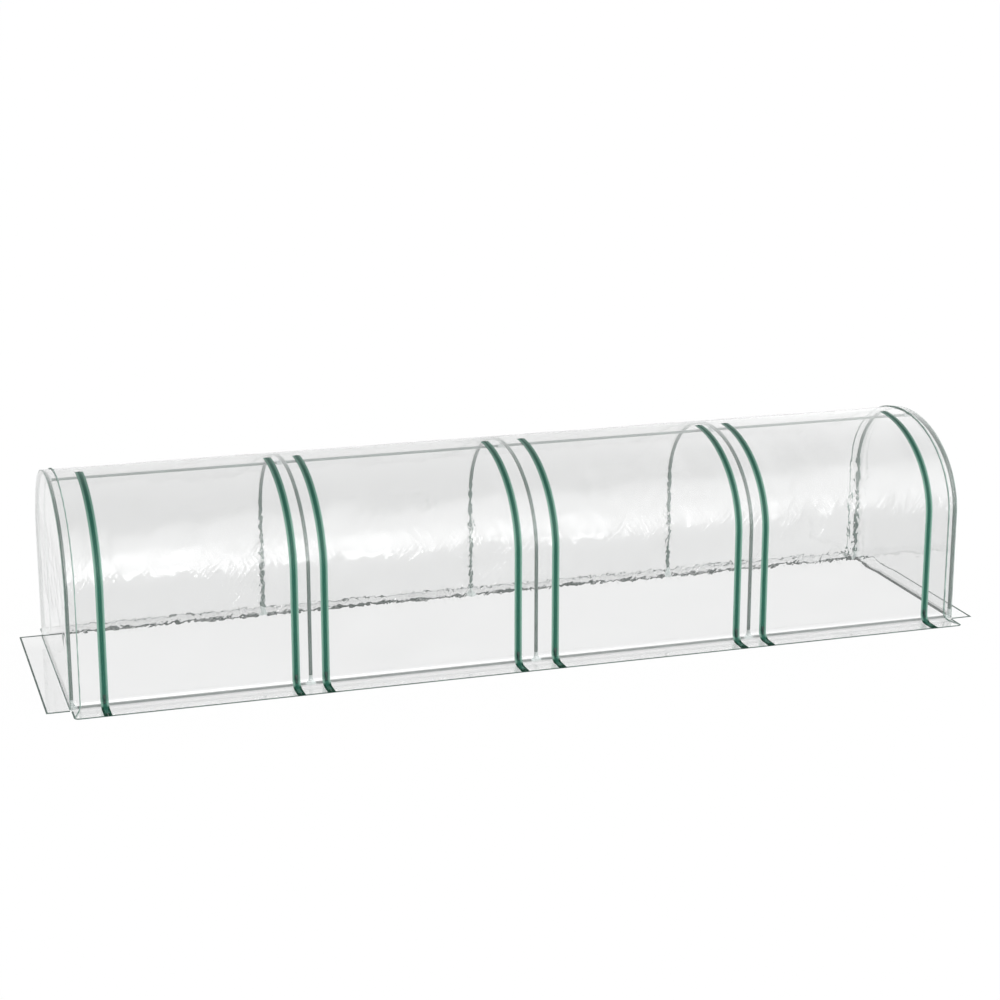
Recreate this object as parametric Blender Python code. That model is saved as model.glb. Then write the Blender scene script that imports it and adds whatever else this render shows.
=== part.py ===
"""Row cover tunnel: steel hoops and rails under a clear film cover with zipped doors.

X runs along the tunnel, the doors face -Y and +Z is up.
The origin is on the ground under the middle of the tunnel.
"""
import math

import bmesh
import bpy
from mathutils import Matrix, Vector

# Driving sizes, in metres
BAY_LENGTH = 1.000
BAY_COUNT = 4
HOOP_WIDTH = 0.980          # between the centrelines of a hoop's two legs
LEG_HEIGHT = 0.495          # straight part of a leg, up from the ground
ARCH_RISE = 0.372           # from the top of the legs to the crown
CLEARANCE = 0.0003          # between pieces that touch
ARCH_STEPS = 21             # odd, so that the crown is a flat facet
TUBE_SIDES = 8

# Steel tubes
HOOP_DIAMETER = 0.016
HOOP_WALL = 0.001
BAR_DIAMETER = 0.012
BAR_WALL = 0.001

# Plastic connectors that push into the tubes
FOOT_HEIGHT = 0.045         # from the ground to the end of the leg that stands on it
FOOT_ARM = 0.022            # from the leg's axis to the end of the rail
SPIGOT_LENGTH = 0.025

# Plastic clips that hang the ridge bar under the hoops
CLIP_WALL = 0.003
CLIP_REACH = 0.020          # along the ridge bar, from the hoop's axis
CLIP_JAW = 0.012            # along the hoop, from the ridge bar's axis

# Film cover
FILM_THICKNESS = 0.001
SIDE_SKIRT = 0.112          # front and back, out from the wall
END_SKIRT = 0.097
SKIRT_NOTCH = 0.010         # the side skirts stop this far inside the end hoops
SEAM_INSET = 0.033          # the end caps are welded on this far inside the end hoops

# Zips
ZIP_TO_END_HOOP = 0.133
ZIP_TO_QUARTER_HOOP = 0.064
ZIP_TO_MIDDLE_HOOP = 0.0845
TAPE_HALF_WIDTH = 0.017
CORE_HALF_WIDTH = 0.0082
ZIP_THICKNESS = 0.0018
ZIP_TOP_GAP = 0.008         # from the ridge line to the top of a zip

# Zip sliders
SLIDER_WIDTH = 0.013
SLIDER_LENGTH = 0.022
SLIDER_DEPTH = 0.004
SLIDER_REST_HEIGHT = 0.045
SLIDER_CHAMFER = 0.0016
LUG_WIDTH = 0.005
LUG_LENGTH = 0.009
LUG_DEPTH = 0.003
PULL_WIDTH = 0.008
PULL_LENGTH = 0.030
PULL_THICKNESS = 0.0016

# Derived sizes
HALF_LENGTH = BAY_LENGTH * BAY_COUNT / 2
HALF_WIDTH = HOOP_WIDTH / 2
HOOP_RADIUS = HOOP_DIAMETER / 2
HOOP_BORE = HOOP_RADIUS - HOOP_WALL
BAR_RADIUS = BAR_DIAMETER / 2
BAR_BORE = BAR_RADIUS - BAR_WALL
FACET_CLEARANCE = CLEARANCE / math.cos(math.pi / TUBE_SIDES)
FILM_INNER = HOOP_RADIUS + CLEARANCE
FILM_OUTER = FILM_INNER + FILM_THICKNESS
ZIP_INNER = FILM_OUTER + CLEARANCE
ZIP_OUTER = ZIP_INNER + ZIP_THICKNESS
BAR_DROP = HOOP_RADIUS + CLIP_WALL + BAR_RADIUS
SEAM_X = HALF_LENGTH - SEAM_INSET
CROWN_HALF_STEP = math.pi / ARCH_STEPS / 2
CROWN_HEIGHT = LEG_HEIGHT + ARCH_RISE * math.cos(CROWN_HALF_STEP)

# Finishes: base colour, roughness, metallic, alpha
FINISHES = {
    "tube": ((0.115, 0.150, 0.135), 0.40, 0.0, 1.0),
    "connector": ((0.480, 0.530, 0.520), 0.45, 0.0, 1.0),
    "film": ((0.800, 0.830, 0.820), 0.10, 0.0, 0.30),
    "zip": ((0.020, 0.110, 0.080), 0.75, 0.0, 1.0),
    "slider": ((0.008, 0.045, 0.032), 0.35, 0.0, 1.0),
}


def clear_objects():
    """Start from an empty scene."""
    for item in list(bpy.data.objects):
        bpy.data.objects.remove(item, do_unlink=True)


def finish(piece, look):
    """Give a piece its own material."""
    colour, roughness, metallic, alpha = FINISHES[look]
    material = bpy.data.materials.new(piece.name)
    material.use_nodes = True
    shader = material.node_tree.nodes["Principled BSDF"]
    shader.inputs["Base Color"].default_value = (*colour, 1)
    shader.inputs["Roughness"].default_value = roughness
    shader.inputs["Metallic"].default_value = metallic
    shader.inputs["Alpha"].default_value = alpha
    piece.data.materials.append(material)


def place(name, mesh, look, matrix=None):
    """Put a finished mesh in the scene as a named piece."""
    mesh = mesh.copy()
    mesh.name = name
    mesh.materials.clear()
    piece = bpy.data.objects.new(name, mesh)
    bpy.context.collection.objects.link(piece)
    if matrix is not None:
        piece.matrix_world = matrix
    finish(piece, look)
    return piece


def mesh_from(bm, smooth=False):
    """Turn a bmesh into a mesh whose faces point outwards."""
    bmesh.ops.recalc_face_normals(bm, faces=bm.faces)
    mesh = bpy.data.meshes.new("shape")
    bm.to_mesh(mesh)
    bm.free()
    if smooth:
        mesh.shade_smooth()
        mesh.set_sharp_from_angle(angle=math.radians(50))
    return mesh


# Shapes

def tube_mesh(line, across, radius, bore):
    """Sweep a round tube along a flat line of (point, normal) pairs."""
    bm = bmesh.new()
    walls = []
    for size in (radius, bore):
        rings = []
        for point, normal in line:
            ring = []
            for side in range(TUBE_SIDES):
                angle = 2 * math.pi * side / TUBE_SIDES
                spoke = normal * math.cos(angle) + across * math.sin(angle)
                ring.append(bm.verts.new(point + spoke * size))
            rings.append(ring)
        for ring, following in zip(rings, rings[1:]):
            for side in range(TUBE_SIDES):
                beside = (side + 1) % TUBE_SIDES
                bm.faces.new((ring[side], ring[beside], following[beside], following[side]))
        walls.append(rings)
    for end in (0, -1):
        outer, inner = walls[0][end], walls[1][end]
        for side in range(TUBE_SIDES):
            beside = (side + 1) % TUBE_SIDES
            bm.faces.new((outer[side], outer[beside], inner[beside], inner[side]))
    return mesh_from(bm, smooth=True)


def straight_line(start, end, normal):
    """The line of a straight tube."""
    return [(Vector(start), Vector(normal)), (Vector(end), Vector(normal))]


def sheet_mesh(outer, inner, faces):
    """A thin closed sheet between two like sets of points."""
    bm = bmesh.new()
    outside = [bm.verts.new(point) for point in outer]
    inside = [bm.verts.new(point) for point in inner]
    uses = {}
    for face in faces:
        bm.faces.new([outside[i] for i in face])
        bm.faces.new([inside[i] for i in reversed(face)])
        for start, end in zip(face, face[1:] + face[:1]):
            key = (min(start, end), max(start, end))
            uses[key] = uses.get(key, 0) + 1
    for (start, end), count in uses.items():
        if count == 1:
            bm.faces.new((outside[start], outside[end], inside[end], inside[start]))
    return mesh_from(bm)


def strip_mesh(low_x, high_x, outer, inner):
    """A strip of constant width that follows a profile of (y, z) points."""
    outer_points = []
    inner_points = []
    for (outer_y, outer_z), (inner_y, inner_z) in zip(outer, inner):
        for x in (low_x, high_x):
            outer_points.append((x, outer_y, outer_z))
            inner_points.append((x, inner_y, inner_z))
    faces = []
    for row in range(len(outer) - 1):
        first = 2 * row
        faces.append([first, first + 1, first + 3, first + 2])
    return sheet_mesh(outer_points, inner_points, faces)


def block(low, high):
    """A box between two corners, as an object."""
    bm = bmesh.new()
    bmesh.ops.create_cube(bm, size=1)
    for vert in bm.verts:
        for axis in range(3):
            vert.co[axis] = high[axis] if vert.co[axis] > 0 else low[axis]
    return helper(bm)


def rod(start, end, radius):
    """A solid round rod between two points, as an object."""
    start, end = Vector(start), Vector(end)
    bm = bmesh.new()
    bmesh.ops.create_cone(bm, cap_ends=True, segments=TUBE_SIDES, radius1=radius,
                          radius2=radius, depth=(end - start).length)
    turn = Vector((0, 0, 1)).rotation_difference(end - start).to_matrix().to_4x4()
    bmesh.ops.transform(bm, matrix=Matrix.Translation((start + end) / 2) @ turn, verts=bm.verts)
    return helper(bm)


def helper(bm):
    """A guide object that is used up by a union or a cut."""
    guide = bpy.data.objects.new("guide", mesh_from(bm))
    bpy.context.collection.objects.link(guide)
    guide.hide_render = True
    guide.display_type = "WIRE"
    return guide


def carve(solids, cutters=()):
    """Union the solids, cut away the cutters and return the mesh."""
    base = solids[0]
    steps = [("UNION", tool) for tool in solids[1:]] + [("DIFFERENCE", tool) for tool in cutters]
    for operation, tool in steps:
        boolean = base.modifiers.new(operation.title(), "BOOLEAN")
        boolean.operation = operation
        boolean.solver = "EXACT"
        boolean.object = tool
    graph = bpy.context.evaluated_depsgraph_get()
    mesh = bpy.data.meshes.new_from_object(base.evaluated_get(graph))
    for guide in (*solids, *cutters):
        bpy.data.objects.remove(guide, do_unlink=True)
    mesh.shade_smooth()
    mesh.set_sharp_from_angle(angle=math.radians(50))
    return mesh


# The hoop's shape, which the film and the zips follow

def hoop_line(foot):
    """Points and outward normals along a hoop at x = 0, from front foot to rear foot."""
    line = [(Vector((0, -HALF_WIDTH, foot)), Vector((0, -1, 0)))]
    for step in range(ARCH_STEPS + 1):
        angle = math.pi * (1 - step / ARCH_STEPS)
        point = Vector((0, HALF_WIDTH * math.cos(angle), LEG_HEIGHT + ARCH_RISE * math.sin(angle)))
        normal = Vector((0, ARCH_RISE * math.cos(angle), HALF_WIDTH * math.sin(angle)))
        line.append((point, normal.normalized()))
    line.append((Vector((0, HALF_WIDTH, foot)), Vector((0, 1, 0))))
    return line


def wall_profile(offset, base):
    """The (y, z) line of a wall that stands outside the hoops, from ground to ground."""
    points = [point + normal * offset for point, normal in hoop_line(0)]
    profile = [(point.y, point.z) for point in points]
    profile[0] = (profile[0][0], base)
    profile[-1] = (profile[-1][0], base)
    return profile


def front_profile(offset, base, skirt_end, top_gap):
    """The front half of the wall with its skirt, up to a gap before the ridge line."""
    profile = wall_profile(offset, base)
    front = [spot for spot in profile if spot[0] < -HALF_WIDTH * math.sin(CROWN_HALF_STEP) / 2]
    crown = profile[len(front)][1]
    return [(-skirt_end, base), *front, (-top_gap, crown)]


SKIRT_END_Y = HALF_WIDTH + FILM_OUTER + SIDE_SKIRT


def front_film(top_gap):
    """Outer and inner lines of the film's front half."""
    return (front_profile(FILM_OUTER, FILM_THICKNESS, SKIRT_END_Y, top_gap),
            front_profile(FILM_INNER, 0, SKIRT_END_Y, top_gap))


# Where the zips stand

def hoop_x(index):
    """X of a hoop, counted from zero at the left end."""
    return index * BAY_LENGTH - HALF_LENGTH


def zip_offset(index):
    """Distance from a hoop to the zips beside it."""
    if index in (0, BAY_COUNT):
        return ZIP_TO_END_HOOP
    if index == BAY_COUNT // 2:
        return ZIP_TO_MIDDLE_HOOP
    return ZIP_TO_QUARTER_HOOP


def door_zips(bay):
    """X of the left and right zip of a bay's door."""
    return hoop_x(bay) + zip_offset(bay), hoop_x(bay + 1) - zip_offset(bay + 1)


# Steel frame

def make_hoops():
    line = hoop_line(FOOT_HEIGHT + CLEARANCE)
    mesh = tube_mesh(line, Vector((1, 0, 0)), HOOP_RADIUS, HOOP_BORE)
    for index in range(BAY_COUNT + 1):
        place(f"hoop_{index + 1}", mesh, "tube", Matrix.Translation((hoop_x(index), 0, 0)))


def make_rails():
    reach = BAY_LENGTH / 2 - FOOT_ARM - CLEARANCE
    line = straight_line((-reach, 0, 0), (reach, 0, 0), (0, 0, 1))
    mesh = tube_mesh(line, Vector((0, 1, 0)), BAR_RADIUS, BAR_BORE)
    for side, y in (("front", -HALF_WIDTH), ("rear", HALF_WIDTH)):
        for bay in range(BAY_COUNT):
            middle = hoop_x(bay) + BAY_LENGTH / 2
            place(f"{side}_rail_{bay + 1}", mesh, "tube", Matrix.Translation((middle, y, HOOP_RADIUS)))


def make_end_bars():
    reach = HALF_WIDTH - FOOT_ARM - CLEARANCE
    line = straight_line((0, -reach, 0), (0, reach, 0), (0, 0, 1))
    mesh = tube_mesh(line, Vector((1, 0, 0)), BAR_RADIUS, BAR_BORE)
    for side, x in (("left", -HALF_LENGTH), ("right", HALF_LENGTH)):
        place(f"end_bar_{side}", mesh, "tube", Matrix.Translation((x, 0, HOOP_RADIUS)))


def make_ridge_bar():
    reach = HALF_LENGTH + HOOP_RADIUS / 2
    line = straight_line((-reach, 0, 0), (reach, 0, 0), (0, 0, 1))
    mesh = tube_mesh(line, Vector((0, 1, 0)), BAR_RADIUS, BAR_BORE)
    place("ridge_bar", mesh, "tube", Matrix.Translation((0, 0, CROWN_HEIGHT - BAR_DROP)))


# Plastic connectors

def foot_mesh(arms):
    """A post that plugs into the leg, with arms that plug into the rails."""
    spigot = HOOP_BORE - FACET_CLEARANCE
    arm_spigot = BAR_BORE - FACET_CLEARANCE
    solids = [
        rod((0, 0, 0), (0, 0, FOOT_HEIGHT), HOOP_RADIUS),
        rod((0, 0, HOOP_RADIUS), (0, 0, FOOT_HEIGHT + SPIGOT_LENGTH), spigot),
    ]
    for direction in arms:
        axis = Vector(direction)
        middle = Vector((0, 0, HOOP_RADIUS))
        solids.append(rod(middle, middle + axis * FOOT_ARM, BAR_RADIUS))
        solids.append(rod(middle, middle + axis * (FOOT_ARM + SPIGOT_LENGTH), arm_spigot))
    return carve(solids)


def make_feet():
    tee = foot_mesh([(1, 0, 0), (-1, 0, 0)])
    corner = foot_mesh([(1, 0, 0), (0, 1, 0)])
    for index in range(BAY_COUNT + 1):
        for side, y in (("front", -HALF_WIDTH), ("rear", HALF_WIDTH)):
            mesh = corner if index in (0, BAY_COUNT) else tee
            quarter_turns = 0
            if index in (0, BAY_COUNT):
                quarter_turns = {("front", 0): 0, ("front", BAY_COUNT): 1,
                                 ("rear", BAY_COUNT): 2, ("rear", 0): 3}[side, index]
            turn = Matrix.Rotation(quarter_turns * math.pi / 2, 4, "Z")
            spot = Matrix.Translation((hoop_x(index), y, 0))
            place(f"{side}_foot_{index + 1}", mesh, "connector", spot @ turn)


def clip_mesh(sleeve_reach, jaw_reach):
    """A clip whose jaws hold the hoop and whose sleeve carries the ridge bar."""
    sleeve = BAR_RADIUS + CLIP_WALL
    bottom = -BAR_DROP - sleeve
    overrun = 2 * CLIP_REACH
    solids = [
        block((-sleeve_reach, -sleeve, bottom), (CLIP_REACH, sleeve, -HOOP_RADIUS)),
        block((-jaw_reach, -CLIP_JAW, bottom + CLIP_WALL),
              (HOOP_RADIUS + CLIP_WALL, CLIP_JAW, CLIP_WALL)),
    ]
    cutters = [
        rod((0, -overrun, 0), (0, overrun, 0), HOOP_RADIUS + FACET_CLEARANCE),
        rod((-overrun, 0, -BAR_DROP), (overrun, 0, -BAR_DROP), BAR_RADIUS + FACET_CLEARANCE),
    ]
    return carve(solids, cutters)


def make_clips():
    middle = clip_mesh(CLIP_REACH, HOOP_RADIUS + CLIP_WALL)
    end = clip_mesh(HOOP_RADIUS, 0)
    for index in range(BAY_COUNT + 1):
        mesh = end if index in (0, BAY_COUNT) else middle
        turn = Matrix.Rotation(math.pi if index == BAY_COUNT else 0, 4, "Z")
        spot = Matrix.Translation((hoop_x(index), 0, CROWN_HEIGHT))
        place(f"ridge_clip_{index + 1}", mesh, "connector", spot @ turn)


# Film cover

def make_roof():
    """The sheet behind the ridge line, with the back wall and the back skirt."""
    outer, inner = front_film(CLEARANCE)
    reach = SEAM_X - CLEARANCE
    mesh = strip_mesh(-reach, reach, [(-y, z) for y, z in outer], [(-y, z) for y, z in inner])
    place("cover_roof", mesh, "film")


def make_front_strips():
    """The fixed strips of film in front of the hoops, between the doors' zips."""
    outer, inner = front_film(0)
    for index in range(BAY_COUNT + 1):
        low_x = CLEARANCE - SEAM_X
        high_x = SEAM_X - CLEARANCE
        if index > 0:
            low_x = door_zips(index - 1)[1] - CORE_HALF_WIDTH
        if index < BAY_COUNT:
            high_x = door_zips(index)[0] + CORE_HALF_WIDTH
        place(f"front_strip_{index + 1}", strip_mesh(low_x, high_x, outer, inner), "film")


def make_doors():
    """The film doors, each on a parent empty on the ridge line."""
    outer, inner = front_film(0)
    hinge = Vector((0, 0, outer[-1][1]))
    for bay in range(BAY_COUNT):
        left, right = door_zips(bay)
        reach = CORE_HALF_WIDTH + 2 * CLEARANCE
        pivot = bpy.data.objects.new(f"door_hinge_{bay + 1}", None)
        bpy.context.collection.objects.link(pivot)
        pivot.location = hinge
        door = place(f"door_{bay + 1}", strip_mesh(left + reach, right - reach, outer, inner), "film")
        door.parent = pivot
        door.matrix_parent_inverse = Matrix.Translation(-hinge)


def end_cap_mesh():
    """The right end: a band over the end hoop, the flat wall and three pieces of skirt."""
    notch_x = HALF_LENGTH - SKIRT_NOTCH
    points = []
    for offset, base in ((FILM_OUTER, FILM_THICKNESS), (FILM_INNER, 0)):
        profile = wall_profile(offset, base)
        wall_x = HALF_LENGTH + offset
        layer = []
        for x in (SEAM_X, notch_x, wall_x):
            layer += [(x, y, z) for y, z in profile]
        far_x = HALF_LENGTH + FILM_OUTER + END_SKIRT
        layer += [(far_x, profile[0][0], base), (far_x, profile[-1][0], base)]
        for y in (-SKIRT_END_Y, SKIRT_END_Y):
            layer += [(SEAM_X, y, base), (notch_x, y, base)]
        points.append(layer)
    count = len(profile)
    seam, notch, wall = 0, count, 2 * count
    end_skirt, front_skirt, back_skirt = 3 * count, 3 * count + 2, 3 * count + 4
    faces = []
    for row in range(count - 1):
        faces.append([seam + row, seam + row + 1, notch + row + 1, notch + row])
        faces.append([notch + row, notch + row + 1, wall + row + 1, wall + row])
    faces.append([wall + row for row in range(count)])
    faces.append([wall, wall + count - 1, end_skirt + 1, end_skirt])
    faces.append([seam, notch, front_skirt + 1, front_skirt])
    faces.append([notch + count - 1, seam + count - 1, back_skirt, back_skirt + 1])
    return sheet_mesh(points[0], points[1], faces)


def make_end_caps():
    mesh = end_cap_mesh()
    place("end_cap_right", mesh, "film")
    place("end_cap_left", mesh, "film", Matrix.Rotation(math.pi, 4, "Z"))


# Zips and sliders

def make_zips():
    """The chain with the tape on its fixed side, on the edge of each fixed strip."""
    outer = front_profile(ZIP_OUTER, FILM_THICKNESS + CLEARANCE + ZIP_THICKNESS,
                          SKIRT_END_Y, ZIP_TOP_GAP)
    inner = front_profile(ZIP_INNER, FILM_THICKNESS + CLEARANCE, SKIRT_END_Y, ZIP_TOP_GAP)
    for bay in range(BAY_COUNT):
        left, right = door_zips(bay)
        mesh = strip_mesh(left - TAPE_HALF_WIDTH, left + CORE_HALF_WIDTH, outer, inner)
        place(f"zip_{2 * bay + 1}", mesh, "zip")
        mesh = strip_mesh(right - CORE_HALF_WIDTH, right + TAPE_HALF_WIDTH, outer, inner)
        place(f"zip_{2 * bay + 2}", mesh, "zip")


def slider_mesh():
    """A chamfered slider with a lug and a hanging pull, centred on the slider's back."""
    body = block((-SLIDER_WIDTH / 2, -SLIDER_DEPTH, -SLIDER_LENGTH / 2),
                 (SLIDER_WIDTH / 2, 0, SLIDER_LENGTH / 2))
    bevel = body.modifiers.new("Chamfer", "BEVEL")
    bevel.width = SLIDER_CHAMFER
    bevel.segments = 1
    lug_front = -SLIDER_DEPTH - LUG_DEPTH
    lug = block((-LUG_WIDTH / 2, lug_front, -LUG_LENGTH / 2),
                (LUG_WIDTH / 2, -SLIDER_DEPTH / 2, LUG_LENGTH / 2))
    pull = block((-PULL_WIDTH / 2, lug_front - PULL_THICKNESS / 2, LUG_LENGTH / 2 - PULL_LENGTH),
                 (PULL_WIDTH / 2, lug_front + PULL_THICKNESS / 2, LUG_LENGTH / 4))
    return carve([body, lug, pull])


def make_sliders():
    mesh = slider_mesh()
    face_y = -HALF_WIDTH - ZIP_OUTER - CLEARANCE
    for bay in range(BAY_COUNT):
        for side, x in enumerate(door_zips(bay)):
            spot = Matrix.Translation((x, face_y, SLIDER_REST_HEIGHT))
            place(f"zip_slider_{2 * bay + side + 1}", mesh, "slider", spot)


def main():
    clear_objects()
    make_hoops()
    make_rails()
    make_end_bars()
    make_ridge_bar()
    make_feet()
    make_clips()
    make_roof()
    make_front_strips()
    make_doors()
    make_end_caps()
    make_zips()
    make_sliders()


main()
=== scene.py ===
"""Row cover tunnel: steel hoops and rails under a clear film cover with zipped doors.

X runs along the tunnel, the doors face -Y and +Z is up, in metres.
Each piece stands where its CAD node does, and most pieces replace one.
"""
import math

import bmesh
import bpy
import numpy as np
from bpy.props import FloatProperty, FloatVectorProperty, IntProperty, PointerProperty
from mathutils import Matrix, Vector


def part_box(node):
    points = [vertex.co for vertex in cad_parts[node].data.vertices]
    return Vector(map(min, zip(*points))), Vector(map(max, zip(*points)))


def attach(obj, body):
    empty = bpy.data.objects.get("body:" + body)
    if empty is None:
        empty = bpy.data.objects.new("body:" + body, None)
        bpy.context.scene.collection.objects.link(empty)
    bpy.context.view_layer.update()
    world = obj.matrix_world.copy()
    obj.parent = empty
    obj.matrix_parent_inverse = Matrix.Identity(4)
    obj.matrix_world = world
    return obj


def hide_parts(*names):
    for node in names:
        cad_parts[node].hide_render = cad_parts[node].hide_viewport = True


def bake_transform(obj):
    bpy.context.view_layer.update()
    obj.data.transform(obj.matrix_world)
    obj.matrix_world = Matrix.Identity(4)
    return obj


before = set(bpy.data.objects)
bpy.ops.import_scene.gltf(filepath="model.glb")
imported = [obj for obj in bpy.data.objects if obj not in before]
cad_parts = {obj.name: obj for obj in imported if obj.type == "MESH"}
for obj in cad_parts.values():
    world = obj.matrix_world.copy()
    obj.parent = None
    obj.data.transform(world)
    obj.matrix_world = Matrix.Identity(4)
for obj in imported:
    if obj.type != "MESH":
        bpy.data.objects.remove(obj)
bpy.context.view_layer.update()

bl_info = {
    "name": "Row Cover Tunnel",
    "version": (1, 0, 0),
    "blender": (4, 5, 0),
    "location": "3D View > Sidebar > Row Cover",
    "description": "Builds the film, zips, tubes and fittings of a row cover tunnel",
    "category": "Object",
}

HOOPS = 5
BAYS = HOOPS - 1
FOOT_LOW, FOOT_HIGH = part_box("front_foot_3")
HALF_WIDTH = -(FOOT_LOW.y + FOOT_HIGH.y) / 2
SKIRT_REACH = -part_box("door_1")[0].y
SEAM_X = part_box("cover_roof")[1].x
END_SKIRT_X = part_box("end_cap_right")[1].x
ZIP_EDGE = 0.0170       # from a zip's middle to the outer edge of its CAD node
GROUND_FILM = 0.0005    # middle of the film where it lies on the ground
NOTCH_FOLD = 0.002      # radius of the fold beside the notch in the skirt
BEND_STEP = 0.012       # between the bends of a zip or weld along the cover's line
CAP_ARCH_POINTS = 46    # the end wall and its band share these points and weld there
CAP_LEG_POINTS = 24
FINE_MERGE = 0.000001   # joins only what an operator has doubled
SEAM_MERGE = 0.00005    # joins the end wall to its band
QUARTER = math.pi / 2


def node_middle(node):
    """The middle of a CAD node's box."""
    low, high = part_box(node)
    return (low + high) / 2


HOOP_X = [node_middle(f"hoop_{index + 1}").x for index in range(HOOPS)]
END_X = HOOP_X[-1]


# Settings in the sidebar

class TunnelSizes(bpy.types.PropertyGroup):
    """Sizes that a user would change."""
    leg_height: FloatProperty(
        name="Leg height", description="Straight part of a hoop's leg, from the ground",
        default=0.495, unit="LENGTH")
    arch_rise: FloatProperty(
        name="Arch rise", description="From the top of the legs to the crown",
        default=0.372, unit="LENGTH")
    hoop_diameter: FloatProperty(
        name="Hoop diameter", description="Outside of the hoop tubes",
        default=0.016, unit="LENGTH")
    bar_diameter: FloatProperty(
        name="Bar diameter", description="Outside of the rails, end bars and ridge bar",
        default=0.012, unit="LENGTH")
    tube_wall: FloatProperty(
        name="Tube wall", description="Wall of the steel tubes",
        default=0.001, unit="LENGTH")
    film_offset: FloatProperty(
        name="Film offset", description="From a hoop's centreline to the middle of the film",
        default=0.0088, unit="LENGTH")
    film_thickness: FloatProperty(
        name="Film thickness", description="Thickness of the clear film",
        default=0.0008, unit="LENGTH")
    fold_radius: FloatProperty(
        name="Fold radius", description="Where the wall turns out into the side skirt",
        default=0.036, unit="LENGTH")
    end_fold_radius: FloatProperty(
        name="End fold radius", description="Where an end wall turns out into its skirt",
        default=0.007, unit="LENGTH")
    end_corner_radius: FloatProperty(
        name="End corner radius", description="Round the rim of an end wall",
        default=0.004, unit="LENGTH")
    skirt_corner_radius: FloatProperty(
        name="Skirt corner radius", description="Round the free corners of the side skirts",
        default=0.022, unit="LENGTH")
    hem_width: FloatProperty(
        name="Hem width", description="Welded hem along the skirt's edges",
        default=0.0080, unit="LENGTH")
    hem_height: FloatProperty(
        name="Hem height", description="Thickness of the welded hem",
        default=0.0026, unit="LENGTH")
    film_mesh: FloatProperty(
        name="Film mesh", description="Side of one face of the doors' and front strips' film",
        default=0.0085, unit="LENGTH")
    tape_half_width: FloatProperty(
        name="Tape half width", description="From a zip's middle to the edge of its tape",
        default=0.0168, unit="LENGTH")
    core_half_width: FloatProperty(
        name="Core half width", description="From a zip's middle to the edge of its bare tape",
        default=0.0082, unit="LENGTH")
    tooth_pitch: FloatProperty(
        name="Tooth pitch", description="Between neighbouring teeth of one side",
        default=0.0034, unit="LENGTH")
    tube_sides: IntProperty(
        name="Tube sides", description="Facets round a steel tube",
        default=28, min=12)


class TunnelColours(bpy.types.PropertyGroup):
    """Colours that a user would change."""
    steel: FloatVectorProperty(
        name="Steel", description="Green coating of the tubes",
        default=(0.116, 0.180, 0.154), subtype="COLOR", size=3)
    plastic: FloatVectorProperty(
        name="Plastic", description="Pale moulded fittings",
        default=(0.680, 0.740, 0.725), subtype="COLOR", size=3)
    film: FloatVectorProperty(
        name="Film", description="Tint of the light that the film lets through",
        default=(0.858, 0.861, 0.860), subtype="COLOR", size=3)
    hem: FloatVectorProperty(
        name="Hem", description="Doubled film of the hems",
        default=(0.075, 0.110, 0.096), subtype="COLOR", size=3)
    seam: FloatVectorProperty(
        name="Seam", description="Welded seams of the end walls",
        default=(0.200, 0.275, 0.245), subtype="COLOR", size=3)
    zip_core: FloatVectorProperty(
        name="Zip core", description="Bare tape beside the teeth",
        default=(0.018, 0.150, 0.100), subtype="COLOR", size=3)
    zip_margin: FloatVectorProperty(
        name="Zip margin", description="Tape under the welded edge of the film",
        default=(0.122, 0.222, 0.180), subtype="COLOR", size=3)
    zip_teeth: FloatVectorProperty(
        name="Zip teeth", description="Moulded teeth",
        default=(0.016, 0.125, 0.083), subtype="COLOR", size=3)
    # Painted shade of the tape where it lies on the skirt and on its end tab; the same dark is also
    # the dark of the weave
    zip_weave_and_shade: FloatVectorProperty(
        name="Zip end", description="Tape on the skirt and its end tab",
        default=(0.001, 0.034, 0.018), subtype="COLOR", size=3)
    slider: FloatVectorProperty(
        name="Slider", description="Painted sliders and pulls",
        default=(0.006, 0.045, 0.032), subtype="COLOR", size=3)


def sizes():
    """The sizes of this scene's tunnel."""
    return bpy.context.scene.tunnel_sizes


def colours():
    """The colours of this scene's tunnel."""
    return bpy.context.scene.tunnel_colours


# Shader nodes

class Wire:
    """A socket that adds Math nodes when it is used in an expression."""

    def __init__(self, sheet, socket):
        self.sheet = sheet
        self.socket = socket

    def math(self, operation, *others):
        """A Math node with this socket first."""
        return self.sheet.add("ShaderNodeMath", {"operation": operation}, (self, *others))

    def __add__(self, other):
        return self.math("ADD", other)

    __radd__ = __add__

    def __mul__(self, other):
        return self.math("MULTIPLY", other)

    __rmul__ = __mul__

    def __sub__(self, other):
        return self.math("SUBTRACT", other)

    def __rsub__(self, other):
        return self.sheet.add("ShaderNodeMath", {"operation": "SUBTRACT"}, (other, self))

    def between(self, low, high):
        """0 below low, 1 above high and smooth in between."""
        return self.sheet.add("ShaderNodeMapRange", {"interpolation_type": "SMOOTHSTEP"},
                              {"Value": self, "From Min": low, "From Max": high})


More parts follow.
